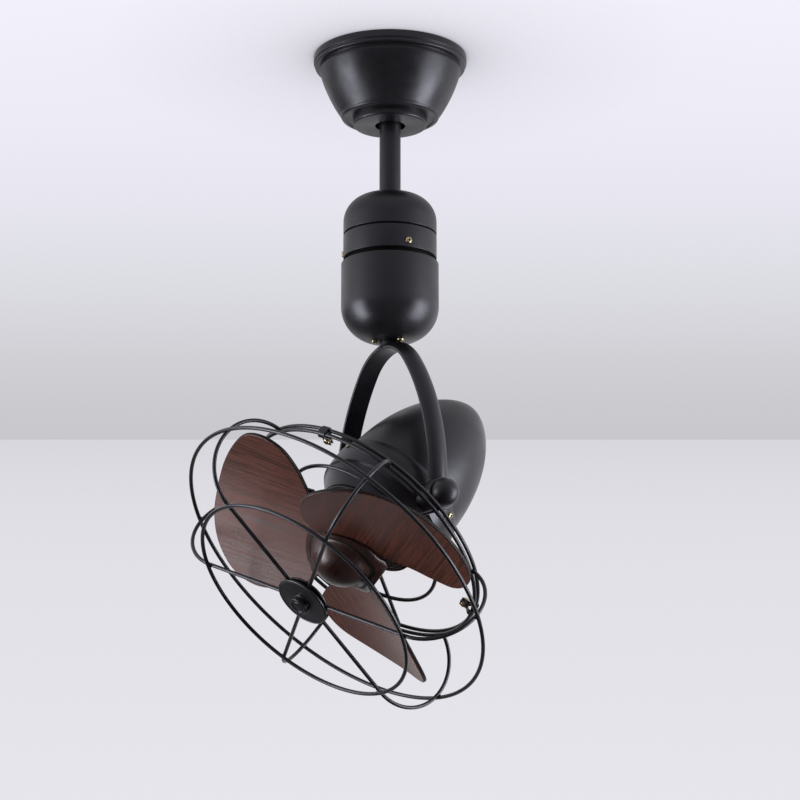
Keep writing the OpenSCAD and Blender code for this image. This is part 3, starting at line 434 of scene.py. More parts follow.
# canopy with a stepped flange, a groove and a rolled bottom rim
canopy = {"flangeR": 77.4, "flangeH": 11, "ledgeH": 6.6, "ledge": 1.3, "grooveR": 70.4,
          "grooveZ": -14.2, "shoulder": (0.9, 0.7), "bowlR": 160, "bottomR": 49.4, "height": 65.5,
          "rim": 3.2, "wall": 1.5, "holeR": 15.65, "recess": 0.9, "plateR": 44.5, "plateRim": 1}


def buildCanopy():
    k = canopy
    wall, flangeR, grooveR = k["wall"], k["flangeR"], k["grooveR"]
    bottom = -k["height"]
    floor = bottom + k["recess"]
    bowlTop = (grooveR + k["shoulder"][0], k["grooveZ"] - k["shoulder"][1])
    side = bulge(bowlTop, (k["bottomR"], bottom + k["rim"]), k["bowlR"], 22)
    ledgeR = flangeR - k["ledge"]
    outer = rounded([
        (flangeR - wall, 0, 0), (flangeR, 0, 0.5), (flangeR, -k["ledgeH"], 0.7),
        (ledgeR, -k["ledgeH"] - 0.5, 0.5), (ledgeR, -k["flangeH"], 1.4),
        (grooveR, -k["flangeH"], 0.5), (grooveR, k["grooveZ"], 0.5),
        (bowlTop[0], k["grooveZ"], 0.4), bowlTop + (0,)])
    outer += side[1:]
    outer += arc(k["bottomR"] - k["rim"], bottom + k["rim"], k["rim"], -12, -90, 8)
    outer += rounded([(k["plateR"] + k["plateRim"], bottom, 0), (k["plateR"], bottom, 0.5),
                      (k["plateR"] - 0.6, floor, 0.4), (k["holeR"], floor, 0)])
    inner = [(k["holeR"], floor + wall), (k["plateR"] - k["plateRim"], floor + wall)]
    inner += [(p.x - wall, p.y) for p in side[-2::-2]]
    inner += [(grooveR - wall, wall - k["flangeH"]), (flangeR - 2 * wall, wall - k["flangeH"]),
              (flangeR - 2 * wall, 0)]
    bm = bmesh.new()
    lathe(bm, outer + inner, steps=160)
    finishPiece("canopy_bowl", bm, upright, "ceiling_unit", [paint], "canopy")


buildCanopy()

cover = {"r": 37.3, "top": -64.6, "bottom": -72.8, "rim": 2.2, "holeR": 15, "wall": 1.5}


def buildCover():
    k = cover
    bm = bmesh.new()
    lathe(bm, rounded([
        (k["r"], k["top"], 0), (k["r"], k["bottom"], k["rim"]), (k["holeR"], k["bottom"], 0.8),
        (k["holeR"], k["bottom"] + k["wall"], 0.3),
        (k["r"] - k["wall"], k["bottom"] + k["wall"], 1), (k["r"] - k["wall"], k["top"], 0)]),
        steps=128)
    finishPiece("cover_ring", bm, upright, "ceiling_unit", [paint], "canopy_cover")


buildCover()

rod = {"r": 10.65, "bore": 8.25, "top": -33.05, "bottom": -177.5}


def buildRod():
    k = rod
    bm = bmesh.new()
    lathe(bm, [(k["r"], k["top"]), (k["r"], k["bottom"]), (k["bore"], k["bottom"]),
               (k["bore"], k["top"])])
    finishPiece("rod_tube", bm, upright, "ceiling_unit", [paint], "downrod")


buildRod()

cap = {"r": 46.5, "top": -147.5, "bottom": -187.7, "round": 27.4, "wall": 1.7, "holeR": 10.95,
       "lipR": 44.5, "lip": 5.8}


def buildCap():
    k = cap
    middle = (k["r"] - k["round"], k["top"] - k["round"])
    outer = [(k["holeR"], k["top"] - 0.4), (k["holeR"] + 0.4, k["top"])]
    outer += arc(*middle, k["round"], 90, 0, 22)
    outer += rounded([(k["r"], k["bottom"] + 1, 0), (k["r"], k["bottom"], 0.4),
                      (k["lipR"], k["bottom"], 0.2), (k["lipR"], k["bottom"] - k["lip"], 0),
                      (k["lipR"] - k["wall"], k["bottom"] - k["lip"], 0)])
    inner = arc(*middle, k["round"] - k["wall"], 0, 90, 12)
    inner += [(k["holeR"], k["top"] - k["wall"])]
    bm = bmesh.new()
    lathe(bm, outer + inner, steps=128)
    # painted shade on the lip and the bottom ring, in the gap above the band
    paintShade(bm, lambda r, z: r < k["r"] - 0.3 and z < k["bottom"] + 0.05)
    finishPiece("cap_dome", bm, upright, "ceiling_unit", [paint, shadowBlack], "upper_cap")


buildCap()

band = {"r": 46.5, "inner": 44.8, "top": -189.5, "bottom": -212.6, "edge": 0.5}
bandScrews = {"angles": (-9, 111, 231), "z": -206}


def buildBand():
    k = band
    middle = (k["r"] + k["inner"]) / 2
    bm = bmesh.new()
    lathe(bm, rounded([
        (middle, k["top"], 0), (k["r"], k["top"], k["edge"]),
        (k["r"], k["bottom"], k["edge"]), (k["inner"], k["bottom"], 0.2),
        (k["inner"], k["top"], 0.2), (middle, k["top"], 0)])[:-1], steps=128)
    # painted shade on the inner faces, in the gaps above and below the band
    paintShade(bm, lambda r, z: r < k["r"] - k["edge"])
    finishPiece("band_sleeve", bm, upright, "ceiling_unit", [paint, shadowBlack], "band_ring")
    spots = [aboutZ(angle) @ spot(k["r"], 0, bandScrews["z"]) @ facingOut
             for angle in bandScrews["angles"]]
    screwHeads("band_heads", spots, upright, "ceiling_unit", "band_screws")


buildBand()
print("ceiling unit made")

housing = {"r": 48.4, "top": -217.5, "bottom": -298, "round": 36, "wall": 1.7, "lip": 1.2,
           "holeR": 6.2, "screwAt": 15.5, "screwAngles": (-110, 10, 130)}


def buildHousing():
    k = housing
    middle = (k["r"] - k["round"], k["bottom"] + k["round"])
    outer = [(k["r"] - k["wall"], k["top"])]
    outer += arc(k["r"] - k["lip"], k["top"] - k["lip"], k["lip"], 90, 0, 6)
    outer += arc(*middle, k["round"], 0, -90, 28)
    outer += [(k["holeR"], k["bottom"]), (k["holeR"], k["bottom"] + k["wall"])]
    inner = arc(*middle, k["round"] - k["wall"], -90, 0, 16)
    bm = bmesh.new()
    lathe(bm, outer + inner, steps=144)
    finishPiece("housing_shell", bm, upright, "turning_unit", [paint], "lower_housing")
    spots = [aboutZ(angle) @ spot(k["screwAt"], 0, k["bottom"]) @ facingDown
             for angle in k["screwAngles"]]
    screwHeads("housing_heads", spots, upright, "turning_unit", "housing_screws")


buildHousing()

yoke = {"half": 83.5, "barW": 21, "barT": 8.5, "edge": 2.6, "crownAngle": 50,
        "crownZ": -356.8, "sideX": -109.69, "sideZ": -448.84, "bossR": 15.5, "bossT": 10.5,
        "stemR": 10, "stemTop": -298.3, "stemH": 7, "collar": (1.5, 5.5)}


def buildYoke():
    k = yoke
    halfW = k["barW"] / 2
    rise = k["barT"] - k["edge"]
    r = (halfW ** 2 + rise ** 2) / (2 * rise)
    tip = math.degrees(math.asin(halfW / r))
    back = arc(k["barT"] - r, 0, r, tip, -tip, 12)[1:-1]
    section = rounded([(0, 0, 0), (0, halfW, 0.9), (k["edge"], halfW, 0.7)]
                      + [(p.x, p.y, 0) for p in back]
                      + [(k["edge"], -halfW, 0.7), (0, -halfW, 0.9), (0, 0, 0)])[:-1]
    bm = bmesh.new()
    loop = loopOf(bm, [(k["half"] + p.x, p.y, pivotHeight) for p in section])
    straight = k["sideZ"] - pivotHeight
    sideTurn = 90 - k["crownAngle"]
    loop = extrudeLoop(bm, loop, (0, 0, straight))
    loop = turnLoop(bm, loop, (k["sideX"], 0, k["sideZ"]), (0, -1, 0), sideTurn, 20)
    loop = turnLoop(bm, loop, (0, 0, k["crownZ"]), (0, -1, 0), 2 * k["crownAngle"], 32)
    loop = turnLoop(bm, loop, (-k["sideX"], 0, k["sideZ"]), (0, -1, 0), sideTurn, 20)
    extrudeLoop(bm, loop, (0, 0, -straight))
    capEnds(bm)
    out = k["half"] + k["bossT"]
    for side in (1, -1):
        boss = rounded([(0, k["half"], 0), (k["bossR"], k["half"], 1), (k["bossR"], out, 1.4),
                        (0, out, 0)])
        lathe(bm, boss, tiltAxis(side), steps=72)
    wide, below = k["collar"]
    lathe(bm, rounded([(0, k["stemTop"] - k["stemH"], 0),
                       (k["stemR"] + wide, k["stemTop"] - k["stemH"], 0),
                       (k["stemR"] + wide - 0.5, k["stemTop"] - below, 1.2),
                       (k["stemR"], k["stemTop"] - below + 1, 0.8),
                       (k["stemR"], k["stemTop"], 0.4), (0, k["stemTop"], 0)]), steps=72)
    finishPiece("yoke_bar", bm, upright, "turning_unit", [paint], "yoke")


buildYoke()

knob = {"r": 13.5, "middle": 97.5, "base": 94.3, "collarR": 11.8, "collar": 0.9}


def buildKnob(side, name, body, replaced):
    k = knob
    start = math.degrees(math.asin((k["base"] + k["collar"] - k["middle"]) / k["r"]))
    bm = bmesh.new()
    lathe(bm, [(0, k["base"]), (k["collarR"], k["base"]),
               (k["collarR"], k["base"] + k["collar"])]
          + arc(0, k["middle"], k["r"], start, 90, 26), tiltAxis(side), steps=72)
    finishPiece(name, bm, upright, body, [paint], replaced)


buildKnob(1, "ball_right", "right_knob", "knob_right")
buildKnob(-1, "ball_left", "left_knob", "knob_left")
print("yoke and knobs made")

# fan head, drawn along the motor's axis
tiltHub = {"r": 13, "inner": 64, "outer": 82.2}


def buildTiltHub(side, name, replaced):
    k = tiltHub
    bm = bmesh.new()
    lathe(bm, rounded([(0, k["inner"], 0), (k["r"], k["inner"], 0),
                       (k["r"], k["outer"], 1), (0, k["outer"], 0)]),
          tiltAxis(side), steps=72)
    finishPiece(name, bm, upright, "fan_head", [paint], replaced)


buildTiltHub(1, "hub_sleeve_right", "tilt_hub_right")
buildTiltHub(-1, "hub_sleeve_left", "tilt_hub_left")

hood = {"r": 64.4, "base": -20, "length": 127, "spigotR": 65.5, "front": -7, "wall": 1.6,
        "pointed": 0.6, "tipWall": 1.3}
hoodScrews = {"angles": (89, 209, 329), "s": -11, "r": 69.5}


def hoodSide(r, length, steps):
    shares = [math.sin(math.radians(90 * k / steps)) for k in range(steps + 1)]
    return [(r * max(0, 1 - u * u) ** hood["pointed"], hood["base"] - length * u) for u in shares]


def buildHood():
    k = hood
    outer = hoodSide(k["r"], k["length"], 44)
    inner = hoodSide(k["r"] - k["wall"], k["length"] - k["tipWall"] * k["wall"], 22)
    bm = bmesh.new()
    lathe(bm, outer[::-1] + [(k["spigotR"], k["base"] - 0.3), (k["spigotR"], k["front"]),
                             (k["r"] - k["wall"], k["front"])] + inner, steps=144)
    finishPiece("hood_shell", bm, headPlace, "fan_head", [paint], "rear_hood")
    spots = [aboutZ(angle) @ spot(hoodScrews["r"], 0, hoodScrews["s"]) @ facingOut
             for angle in hoodScrews["angles"]]
    screwHeads("hood_heads", spots, headPlace, "fan_head", "hood_screws")


buildHood()

can = {"r": 69.3, "back": -20, "lipR": 53.2, "front": 35, "curve": 80, "wall": 1.8,
       "boreR": 65.8, "boreFront": 5, "taper": 1.2, "stepAt": 10, "step": (2.2, 1.8),
       "seam": (31, 33), "backEdge": 1.9}


def buildCan():
    k = can
    back, front, lipR = k["back"], k["front"], k["lipR"]
    sideR = k["r"] - k["taper"]
    start = (sideR - k["step"][0], k["stepAt"] + k["step"][1])
    shoulder = bulge(start, (lipR, front), k["curve"], 14)
    outer = rounded([(k["boreR"], back, 0), (k["r"] - k["backEdge"], back, 0.5),
                     (k["r"] - 0.5, back + 5, 8), (k["r"], back + 10, 12),
                     (k["r"] - k["taper"] / 2, 0, 12), (sideR, k["stepAt"], 0.9),
                     start + (1.5,), tuple(shoulder[1]) + (0,)])
    outer += shoulder[2:-1]
    outer += rounded([tuple(shoulder[-1] - Vector((-0.5, 0.6))) + (0,),
                      tuple(shoulder[-1]) + (0.7,), (lipR - k["wall"], front, 0.4),
                      (lipR - k["wall"], front - 2, 0)])
    inner = [(p.x - k["wall"], p.y - 0.7) for p in shoulder[-2:1:-3]]
    inner += [(k["boreR"], k["boreFront"])]
    bm = bmesh.new()
    lathe(bm, outer + inner, steps=144)
    # painted shade: a dark band on the shoulder stands in for the shade of a gap line
    paintShade(bm, lambda r, z: k["seam"][0] < z < k["seam"][1] and r > lipR)
    finishPiece("can_shell", bm, headPlace, "fan_head", [paint, shadowBlack], "motor_can")


buildCan()

bell = {"r": 50.6, "face": 36.2, "thick": 4, "bossR": 17, "bossFace": 38.2, "holeR": 7,
        "skirt": 8, "wall": 4, "groove": (6, 11), "grooveDepth": 0.6}


def buildBell():
    k = bell
    back = k["face"] - k["thick"]
    near, far = (k["r"] - inset for inset in k["groove"])
    sunk = k["face"] - k["grooveDepth"]
    bm = bmesh.new()
    lathe(bm, rounded([
        (k["holeR"], k["bossFace"], 0), (k["bossR"], k["bossFace"], 0.8),
        (k["bossR"] + 0.6, k["face"], 0.8), (far - 1, k["face"], 1), (far, sunk, 0.6),
        (near, sunk, 0.6), (near + 1, k["face"], 1), (k["r"], k["face"], 1.2),
        (k["r"], back - k["skirt"], 0), (k["r"] - k["wall"], back - k["skirt"], 0),
        (k["r"] - k["wall"], back, 1), (k["holeR"], back, 0)]), steps=128)
    finishPiece("bell_face", bm, headPlace, "fan_head", [innerPaint], "front_end_bell")


buildBell()
print("fan head made")

# cage of round wire
cage = {"wire": 1.9, "front": 134.8, "bendAt": 119.5, "bendR": 48, "bendTurn": 165.5,
        "ribIn": 12, "ribStart": 27, "ribs": 6,
        "frontRings": ((118.6, 138.0), (170.7, 88.32), (130.2, 41.9)),
        "rearRings": ((85.2, 40.8), (130.2, 36.1)), "spokeS": 38.6, "spokeIn": 40,
        "spokeOut": 128.7, "spokeAngles": (0, 120, 240),
        "welds": (((118.6, 136.5), (2.6, 2.6, 1.2)), ((169.2, 87.8), (1.2, 2.6, 2.6)),
                  ((130.4, 40.6), (2.2, 2.6, 1.6)))}
guardPlate = {"inner": 30, "outer": 46, "back": 36.5, "front": 38.5, "screwAt": 38,
              "screwAngles": (60, 180, 300)}


def wireEnd(bm, x, z):
    return loopOf(bm, [(x, p.x, z + p.y) for p in arc(0, 0, cage["wire"], 0, 360, 14)[:-1]])


def wireRing(bm, r, z):
    lathe(bm, arc(r, z, cage["wire"], 0, 360, 14)[:-1], steps=192)


def buildFrontCage():
    k = cage
    angles = [k["ribStart"] + rib * 360 / k["ribs"] for rib in range(k["ribs"])]
    bm = bmesh.new()
    for angle in angles:
        old = set(bm.verts)
        loop = wireEnd(bm, k["ribIn"], k["front"])
        loop = extrudeLoop(bm, loop, (k["bendAt"] - k["ribIn"], 0, 0))
        turnLoop(bm, loop, (k["bendAt"], 0, k["front"] - k["bendR"]), (0, 1, 0),
                 k["bendTurn"], 44)
        placeNew(bm, old, aboutZ(angle))
    capEnds(bm)
    for angle in angles:
        for (x, z), size in k["welds"]:
            old = set(bm.verts)
            bmesh.ops.create_uvsphere(bm, u_segments=12, v_segments=8, radius=1)
            bead = Matrix.Diagonal(Vector(size + (1,)))
            placeNew(bm, old, aboutZ(angle) @ spot(x, 0, z) @ bead)
    finishPiece("cage_ribs", bm, headPlace, "fan_head", [wirePaint], "front_guard")
    bm = bmesh.new()
    for r, s in k["frontRings"]:
        wireRing(bm, r, s)
    finishPiece("cage_rings", bm, headPlace, "fan_head", [wirePaint], "front_rings")


buildFrontCage()


def buildRearCage():
    k = cage
    bm = bmesh.new()
    for angle in k["spokeAngles"]:
        old = set(bm.verts)
        loop = wireEnd(bm, k["spokeIn"], k["spokeS"])
        extrudeLoop(bm, loop, (k["spokeOut"] - k["spokeIn"], 0, 0))
        placeNew(bm, old, aboutZ(angle))
    capEnds(bm)
    p = guardPlate
    middle = (p["inner"] + p["outer"]) / 2
    lathe(bm, rounded([
        (middle, p["front"], 0), (p["outer"], p["front"], 0.6), (p["outer"], p["back"], 0.3),
        (p["inner"], p["back"], 0.3), (p["inner"], p["front"], 0.6),
        (middle, p["front"], 0)])[:-1], steps=128)
    finishPiece("guard_spokes", bm, headPlace, "fan_head", [wirePaint], "rear_guard")
    bm = bmesh.new()
    for r, s in k["rearRings"]:
        wireRing(bm, r, s)
    finishPiece("guard_rings", bm, headPlace, "fan_head", [wirePaint], "rear_rings")
    spots = [aboutZ(angle) @ spot(p["screwAt"], 0, p["front"]) for angle in p["screwAngles"]]
    screwHeads("guard_heads", spots, headPlace, "fan_head", "guard_screws")


buildRearCage()

# strap round both rear rings, its ears pinched together by a screw and nut
clip = {"inner": 115.4, "outer": 133.2, "back": 33.1, "front": 44.9, "sheet": 1, "ears": (37, 41),
        "bend": (123.4, 127.2), "width": 8, "angles": (60, 180, 300), "screwAt": 119.6,
        "spacerR": 3.6, "nutR": 3.8, "nutH": 2.4}


def buildClips():
    k = clip
    t = k["sheet"]
    low, high = k["ears"]
    start, end = k["bend"]
    inner, outer, back, front = k["inner"], k["outer"], k["back"], k["front"]
    section = rounded([
        (inner, high - t / 2, 0), (inner, high, 0.3), (start, high, 2), (end, front, 2),
        (outer, front, 3.2), (outer, back, 3.2), (end, back, 2), (start, low, 2),
        (inner, low, 0.3), (inner, low + t, 0.3), (start, low + t, 1), (end, back + t, 1),
        (outer - t, back + t, 2.2), (outer - t, front - t, 2.2),
        (end, front - t, 1), (start, high - t, 1),
        (inner, high - t, 0.3), (inner, high - t / 2, 0)])[:-1]
    bm = bmesh.new()
    for angle in k["angles"]:
        old = set(bm.verts)
        loop = loopOf(bm, [(p.x, -k["width"] / 2, p.y) for p in section])
        extrudeLoop(bm, loop, (0, k["width"], 0))
        placeNew(bm, old, aboutZ(angle))
        capEnds(bm)
        lathe(bm, [(0, low + t), (k["spacerR"], low + t), (k["spacerR"], high - t),
                   (0, high - t)], aboutZ(angle) @ spot(k["screwAt"], 0, 0), steps=32)
    finishPiece("clip_straps", bm, headPlace, "fan_head", [paint], "guard_clips")
    bm = bmesh.new()
    for angle in k["angles"]:
        addCopy(bm, lowScrew, aboutZ(angle) @ spot(k["screwAt"], 0, high))
        lathe(bm, rounded([(0, low - k["nutH"], 0), (k["nutR"], low - k["nutH"], 0.6),
                           (k["nutR"], low, 0), (0, low, 0)]),
              aboutZ(angle) @ spot(k["screwAt"], 0, 0), steps=6)
    finishPiece("clip_heads", bm, headPlace, "fan_head", brassWithRecessShade, "clip_screws")


buildClips()

badge = {"r": 27.6, "back": 137, "face": 140.4, "edge": 1.1, "buttonR": 9.5, "buttonTop": 146,
         "grooveR": 6.1, "groove": 0.5, "flare": 2, "dish": 0.9, "rimW": 2.2, "pinR": 4}
badgePlate = {"r": 24, "back": 130.4, "front": 132.6, "pinPast": 1.4}


def buildBadge():
    k = badge
    top, face, ring = k["buttonTop"], k["face"], k["grooveR"]
    rim = k["r"] - k["rimW"]
    bm = bmesh.new()
    lathe(bm, rounded([
        (0, top - 0.1, 0), (ring - 0.8, top - 0.1, 0.3), (ring - 0.4, top - k["groove"], 0.2),
        (ring + 0.4, top - k["groove"], 0.2), (ring + 0.8, top, 0.3), (k["buttonR"], top, 1),
        (k["buttonR"], face + 0.2, 0.5), (k["buttonR"] + k["flare"], face, 0.6),
        (rim, face - k["dish"], 0.8), (rim + 0.6, face - k["dish"] + 0.4, 0.4),
        (k["r"], face - 1, k["edge"]), (k["r"], k["back"], k["edge"]), (0, k["back"], 0)]),
        steps=128)
    p = badgePlate
    pinFront, pinBack = k["back"] + 0.5, p["back"] - p["pinPast"]
    lathe(bm, [(0, pinFront), (k["pinR"], pinFront), (k["pinR"], pinBack), (0, pinBack)],
          steps=48)
    finishPiece("badge_disc", bm, headPlace, "fan_head", [wirePaint], "badge")
    bm = bmesh.new()
    lathe(bm, rounded([(0, p["front"], 0), (p["r"], p["front"], 0.5), (p["r"], p["back"], 0.7),
                       (0, p["back"], 0)]), steps=128)
    finishPiece("badge_back", bm, headPlace, "fan_head", [paint], "badge_plate")


buildBadge()
print("cage made")

# blades: an outline filled with rings, warped to the hollow and twist, then thickened
blade = {"r": 149.5, "width": 168, "thick": 4, "s": 75.6, "pitch": 15, "twist": -2.3,
         "rake": -1.1, "hollow": 9.4, "hollowShare": 0.417, "twistAt": 0.635,
         "middle": (0.56, 0.036), "edge": 1.1, "sideFacing": 0.72,
         "rings": (0, 0.2, 0.4, 0.58, 0.74, 0.86, 0.94, 0.98, 1)}
bladePoints = [
    (1, 0.012), (0.972, 0.214), (0.92, 0.357), (0.81, 0.476), (0.635, 0.548), (0.44, 0.536),
    (0.265, 0.446), (0.14, 0.327), (0.085, 0.196), (0.13, 0.048), (0.16, -0.071),
    (0.28, -0.131), (0.41, -0.262), (0.5, -0.357), (0.635, -0.452), (0.79, -0.452),
    (0.915, -0.357), (0.98, -0.179)]


# the point at share t from b to c of a smooth curve through a, b, c and d
def between(a, b, c, d, t):
    return 0.5 * (2 * b + (c - a) * t + (2 * a - 5 * b + 4 * c - d) * t * t
                  + (3 * b - a - 3 * c + d) * t ** 3)


# a point of the smooth closed curve through points, where position counts them
def smoothPoint(points, position):
    i = math.floor(position)
    four = (Vector(points[(i + q) % len(points)]) for q in (-1, 0, 1, 2))
    return between(*four, position - i)


def onBlade(x, y):
    k = blade
    out = (x - k["twistAt"] * k["r"]) / (k["r"] / 3)
    turn = math.radians(k["pitch"] + k["twist"] * out)
    q = y / (k["hollowShare"] * k["width"])
    return Vector((x, y * math.cos(turn), k["s"] + y * math.sin(turn)
                   - k["hollow"] * (1 - q * q) + k["rake"] * out))


def disc(bm, shares, steps):
    lathe(bm, [(share, 0) for share in shares], steps=steps)
    bmesh.ops.remove_doubles(bm, verts=bm.verts, dist=1e-5)


# 1 where the sheet's faces point along the axis, or -1
def facing(bm):
    bmesh.ops.recalc_face_normals(bm, faces=bm.faces)
    return 1 if sum(face.normal.z for face in bm.faces) > 0 else -1


def bevelRims(bm, rims, size):
    bmesh.ops.bevel(bm, geom=rims, offset=size, offset_type="OFFSET", segments=3,
                    profile=0.5, affect="EDGES", material=-1)


def grainMap(bm, shift):
    layer = bm.loops.layers.uv.new("grain")
    for face in bm.faces:
        for corner in face.loops:
            corner[layer].uv = (corner.vert.co.x * millimetre + shift,
                                corner.vert.co.y * millimetre + 0.4 * shift)


def buildBlade(number):
    k = blade
    bm = bmesh.new()
    disc(bm, k["rings"], 144)
    middle = Vector((k["middle"][0] * k["r"], k["middle"][1] * k["width"]))
    for vert in bm.verts:
        share = min(1, vert.co.length)
        angle = math.degrees(math.atan2(vert.co.y, vert.co.x)) % 360
        edge = smoothPoint(bladePoints, angle / 360 * len(bladePoints))
        flat = middle + (Vector((edge.x * k["r"], edge.y * k["width"])) - middle) * share
        vert.co = onBlade(flat.x, flat.y)
    bmesh.ops.translate(bm, vec=(0, 0, -k["thick"] / 2), verts=bm.verts)
    bmesh.ops.solidify(bm, geom=bm.faces[:], thickness=-facing(bm) * k["thick"])
    rims = [e for e in bm.edges if e.is_manifold and e.calc_face_angle(0) > math.radians(50)]
    bevelRims(bm, rims, k["edge"])
    for face in bm.faces:
        face.normal_update()
        face.material_index = int(abs(face.normal.z) < k["sideFacing"])
    grainMap(bm, 0.37 * number)
    bmesh.ops.transform(bm, matrix=aboutZ(120 * number), verts=bm.verts)
    finishPiece("walnut_blade_%d" % (number + 1), bm, headPlace, "rotor", [walnut, darkEdgeAndShade],
                "blade_%d" % (number + 1))


for number in range(3):
    buildBlade(number)

# spinner: a bell whose skirt drops between the blades and spreads as a brim over each of them,
# with painted shade along the gutter under its dome
spinner = {"thick": 2, "domeShare": 0.557, "brimIn": 3, "clear": 4.2, "flare": 1.25,
           "lead": 1.04, "rings": 26, "edge": 0.7,
           "side": ((0, 101), (10, 99.8), (18, 96.4), (24.4, 91), (28.8, 84.6), (31.6, 79),
                    (34, 75.3), (36.8, 72.6), (40.2, 70), (43.2, 66.6), (45, 62.5)),
           "zone": (-40, -21, 58, 78), "gutterShade": (0.735, 0.805)}


# the point at a share of the length of a line
def along(points, share):
    points = [Vector(p) for p in points]
    lengths = [(b - a).length for a, b in zip(points, points[1:])]
    left = share * sum(lengths)
    for first, second, length in zip(points, points[1:], lengths):
        if left <= length:
            return first.lerp(second, left / length)
        left -= length
    return points[-1]


def easeIn(value, low, high):
    share = min(1, max(0, (value - low) / (high - low)))
    return share * share * (3 - 2 * share)


# how much the skirt is a brim at an angle, and how far its edge is lifted there
def overBlade(angle):
    k = spinner
    before = -k["zone"][0]
    local = (angle + before) % 120 - before
    share = easeIn(local, *k["zone"][:2]) * (1 - easeIn(local, *k["zone"][2:]))
    edge = k["side"][-1]
    r = edge[0] - k["brimIn"]
    turn = math.radians(local)
    flat = onBlade(r * math.cos(turn), r * math.sin(turn) * k["lead"])
    return share, share * (flat.z + k["clear"] - edge[1])


def spinnerPoint(fine, share, angle):
    k = spinner
    brim, lift = overBlade(angle)
    here = along(fine, share)
    spreadOut = max(0, (share - k["domeShare"]) / (1 - k["domeShare"])) ** k["flare"]
    return Vector((here.x - k["brimIn"] * brim * spreadOut, here.y + lift * spreadOut))


def buildSpinner():
    k = spinner
    fine = []
    count = len(k["side"])
    for i in range(count - 1):
        four = [Vector(k["side"][min(max(i + q, 0), count - 1)]) for q in (-1, 0, 1, 2)]
        fine += [between(*four, quarter / 4) for quarter in range(4)]
    fine.append(Vector(k["side"][-1]))
    bm = bmesh.new()
    disc(bm, [j / k["rings"] for j in range(k["rings"] + 1)], 240)
    # painted shade: faces within the gutter's share get the dark second material
    for face in bm.faces:
        share = face.calc_center_median().length
        face.material_index = int(k["gutterShade"][0] < share < k["gutterShade"][1])
    for vert in bm.verts:
        angle = math.atan2(vert.co.y, vert.co.x)
        point = spinnerPoint(fine, min(1, vert.co.length), math.degrees(angle))
        vert.co = (point.x * math.cos(angle), point.x * math.sin(angle), point.y)
    border = [edge for edge in bm.edges if edge.is_boundary]
    shell = set(bm.faces)
    bmesh.ops.solidify(bm, geom=bm.faces[:], thickness=facing(bm) * k["thick"])
    strip = {face for edge in border for face in edge.link_faces if face not in shell}
    rims = list({edge for face in strip for edge in face.edges
                 if any(other not in strip for other in edge.link_faces)})
    bevelRims(bm, rims, k["edge"])
    grainMap(bm, 1.7)
    finishPiece("spinner_bell", bm, headPlace, "rotor", [spinnerWood, darkEdgeAndShade], "spinner",
                sharp=50)


buildSpinner()

bladeScrews = {"at": ((34, -12), (34, 10), (56, 0)), "s": 60.68, "slope": 0.335,
               "sink": 1.25}


def buildBladeScrews():
    k = bladeScrews
    tip = Matrix.Rotation(math.atan(k["slope"]), 4, "X")
    spots = [aboutZ(120 * number) @ spot(0, 0, k["s"]) @ tip @ spot(x, y, -k["sink"]) @ facingDown
             for number in range(3) for x, y in k["at"]]
    screwHeads("blade_heads", spots, headPlace, "rotor", "blade_screws")


buildBladeScrews()
print("rotor made")

# camera fitted to the photograph
camera = {"place": (2.0844, -1.3166, -0.9701), "azimuth": 57.72, "yaw": 0.23, "pitch": 13.97,
          "lens": 116.613}
azimuth, yaw, pitch = (math.radians(camera[key]) for key in ("azimuth", "yaw", "pitch"))
up = Vector((0, 0, 1))
ahead = Vector((-math.sin(azimuth - yaw), math.cos(azimuth - yaw), 0))
right = Vector((math.cos(azimuth - yaw), math.sin(azimuth - yaw), 0))
forward = ahead * math.cos(pitch) + up * math.sin(pitch)
top = up * math.cos(pitch) - ahead * math.sin(pitch)
lensData = bpy.data.cameras.new("photo_view")
lensData.lens = camera["lens"]
lensData.sensor_width = 36
lensData.clip_end = 50
eye = bpy.data.objects.new("photo_view", lensData)
scene.collection.objects.link(eye)
eye.matrix_world = Matrix.Translation(camera["place"]) @ Matrix(
    (right, top, -forward)).transposed().to_4x4()
scene.camera = eye

# stage: ceiling, wall and floor, each seen from its inner side alone
stageSizes = {"ceiling": 0.0006, "wall": 4.173, "overhead": 2.314, "floor": -2.4, "half": 6,
              "wallFade": -0.575, "floorFade": 3}
contact = {"reach": 0.3, "share": 1.1, "fadeFrom": 0.28, "fadeTo": 0.6, "samples": 12}
stageColours = {"sheet": (0.02, 0.02, 0.02, 1), "glow": (0.96, 0.96, 1, 1),
                "ambient": (0.105, 0.105, 0.113, 1), "backdrop": (226, 225, 231),
                "lamp": (0.95, 0.95, 1)}
# painted shade: the ceiling's and the wall's seen tones darken towards the corner where they meet
ceilingTones = ((0, (240, 239, 249)), (0.18, (234, 233, 244)), (0.33, (229, 228, 238)),
                (0.5, (219, 219, 226)), (0.72, (206, 206, 211)), (0.88, (200, 200, 205)),
                (1, (198, 197, 202)))
wallTones = ((0, (213, 212, 218)), (0.18, (220, 219, 225)), (0.35, (223, 222, 228)),
             (0.75, (226, 225, 231)), (1, (228, 227, 233)))
floorTones = ((0, (226, 225, 230)), (1, (222, 221, 227)))
# the sheets' X runs across the view
heading = Matrix((right, ahead, up)).transposed().to_4x4()
below = Vector((camera["place"][0], camera["place"][1], 0))


# glow: metres across, along or up the sheet, and the strength that they bring
glow = {"sides": (0.2, 0.7, 0.42), "ceiling": (-0.9, -2.3, 0.14, 0.64),
        "wallLow": (-2.35, -1.75, 0.5), "wallHigh": (-1.6, -0.6, 0.33),
        "wallAcross": (-1.5, -0.55), "wallLeast": 0.12, "floor": (-2, 2, 0.08, 0.11)}


def combine(tree, kind, first, second, third=0.0):
    return add(tree, "ShaderNodeMath", {0: first, 1: second, 2: third},
               operation=kind).outputs[0]


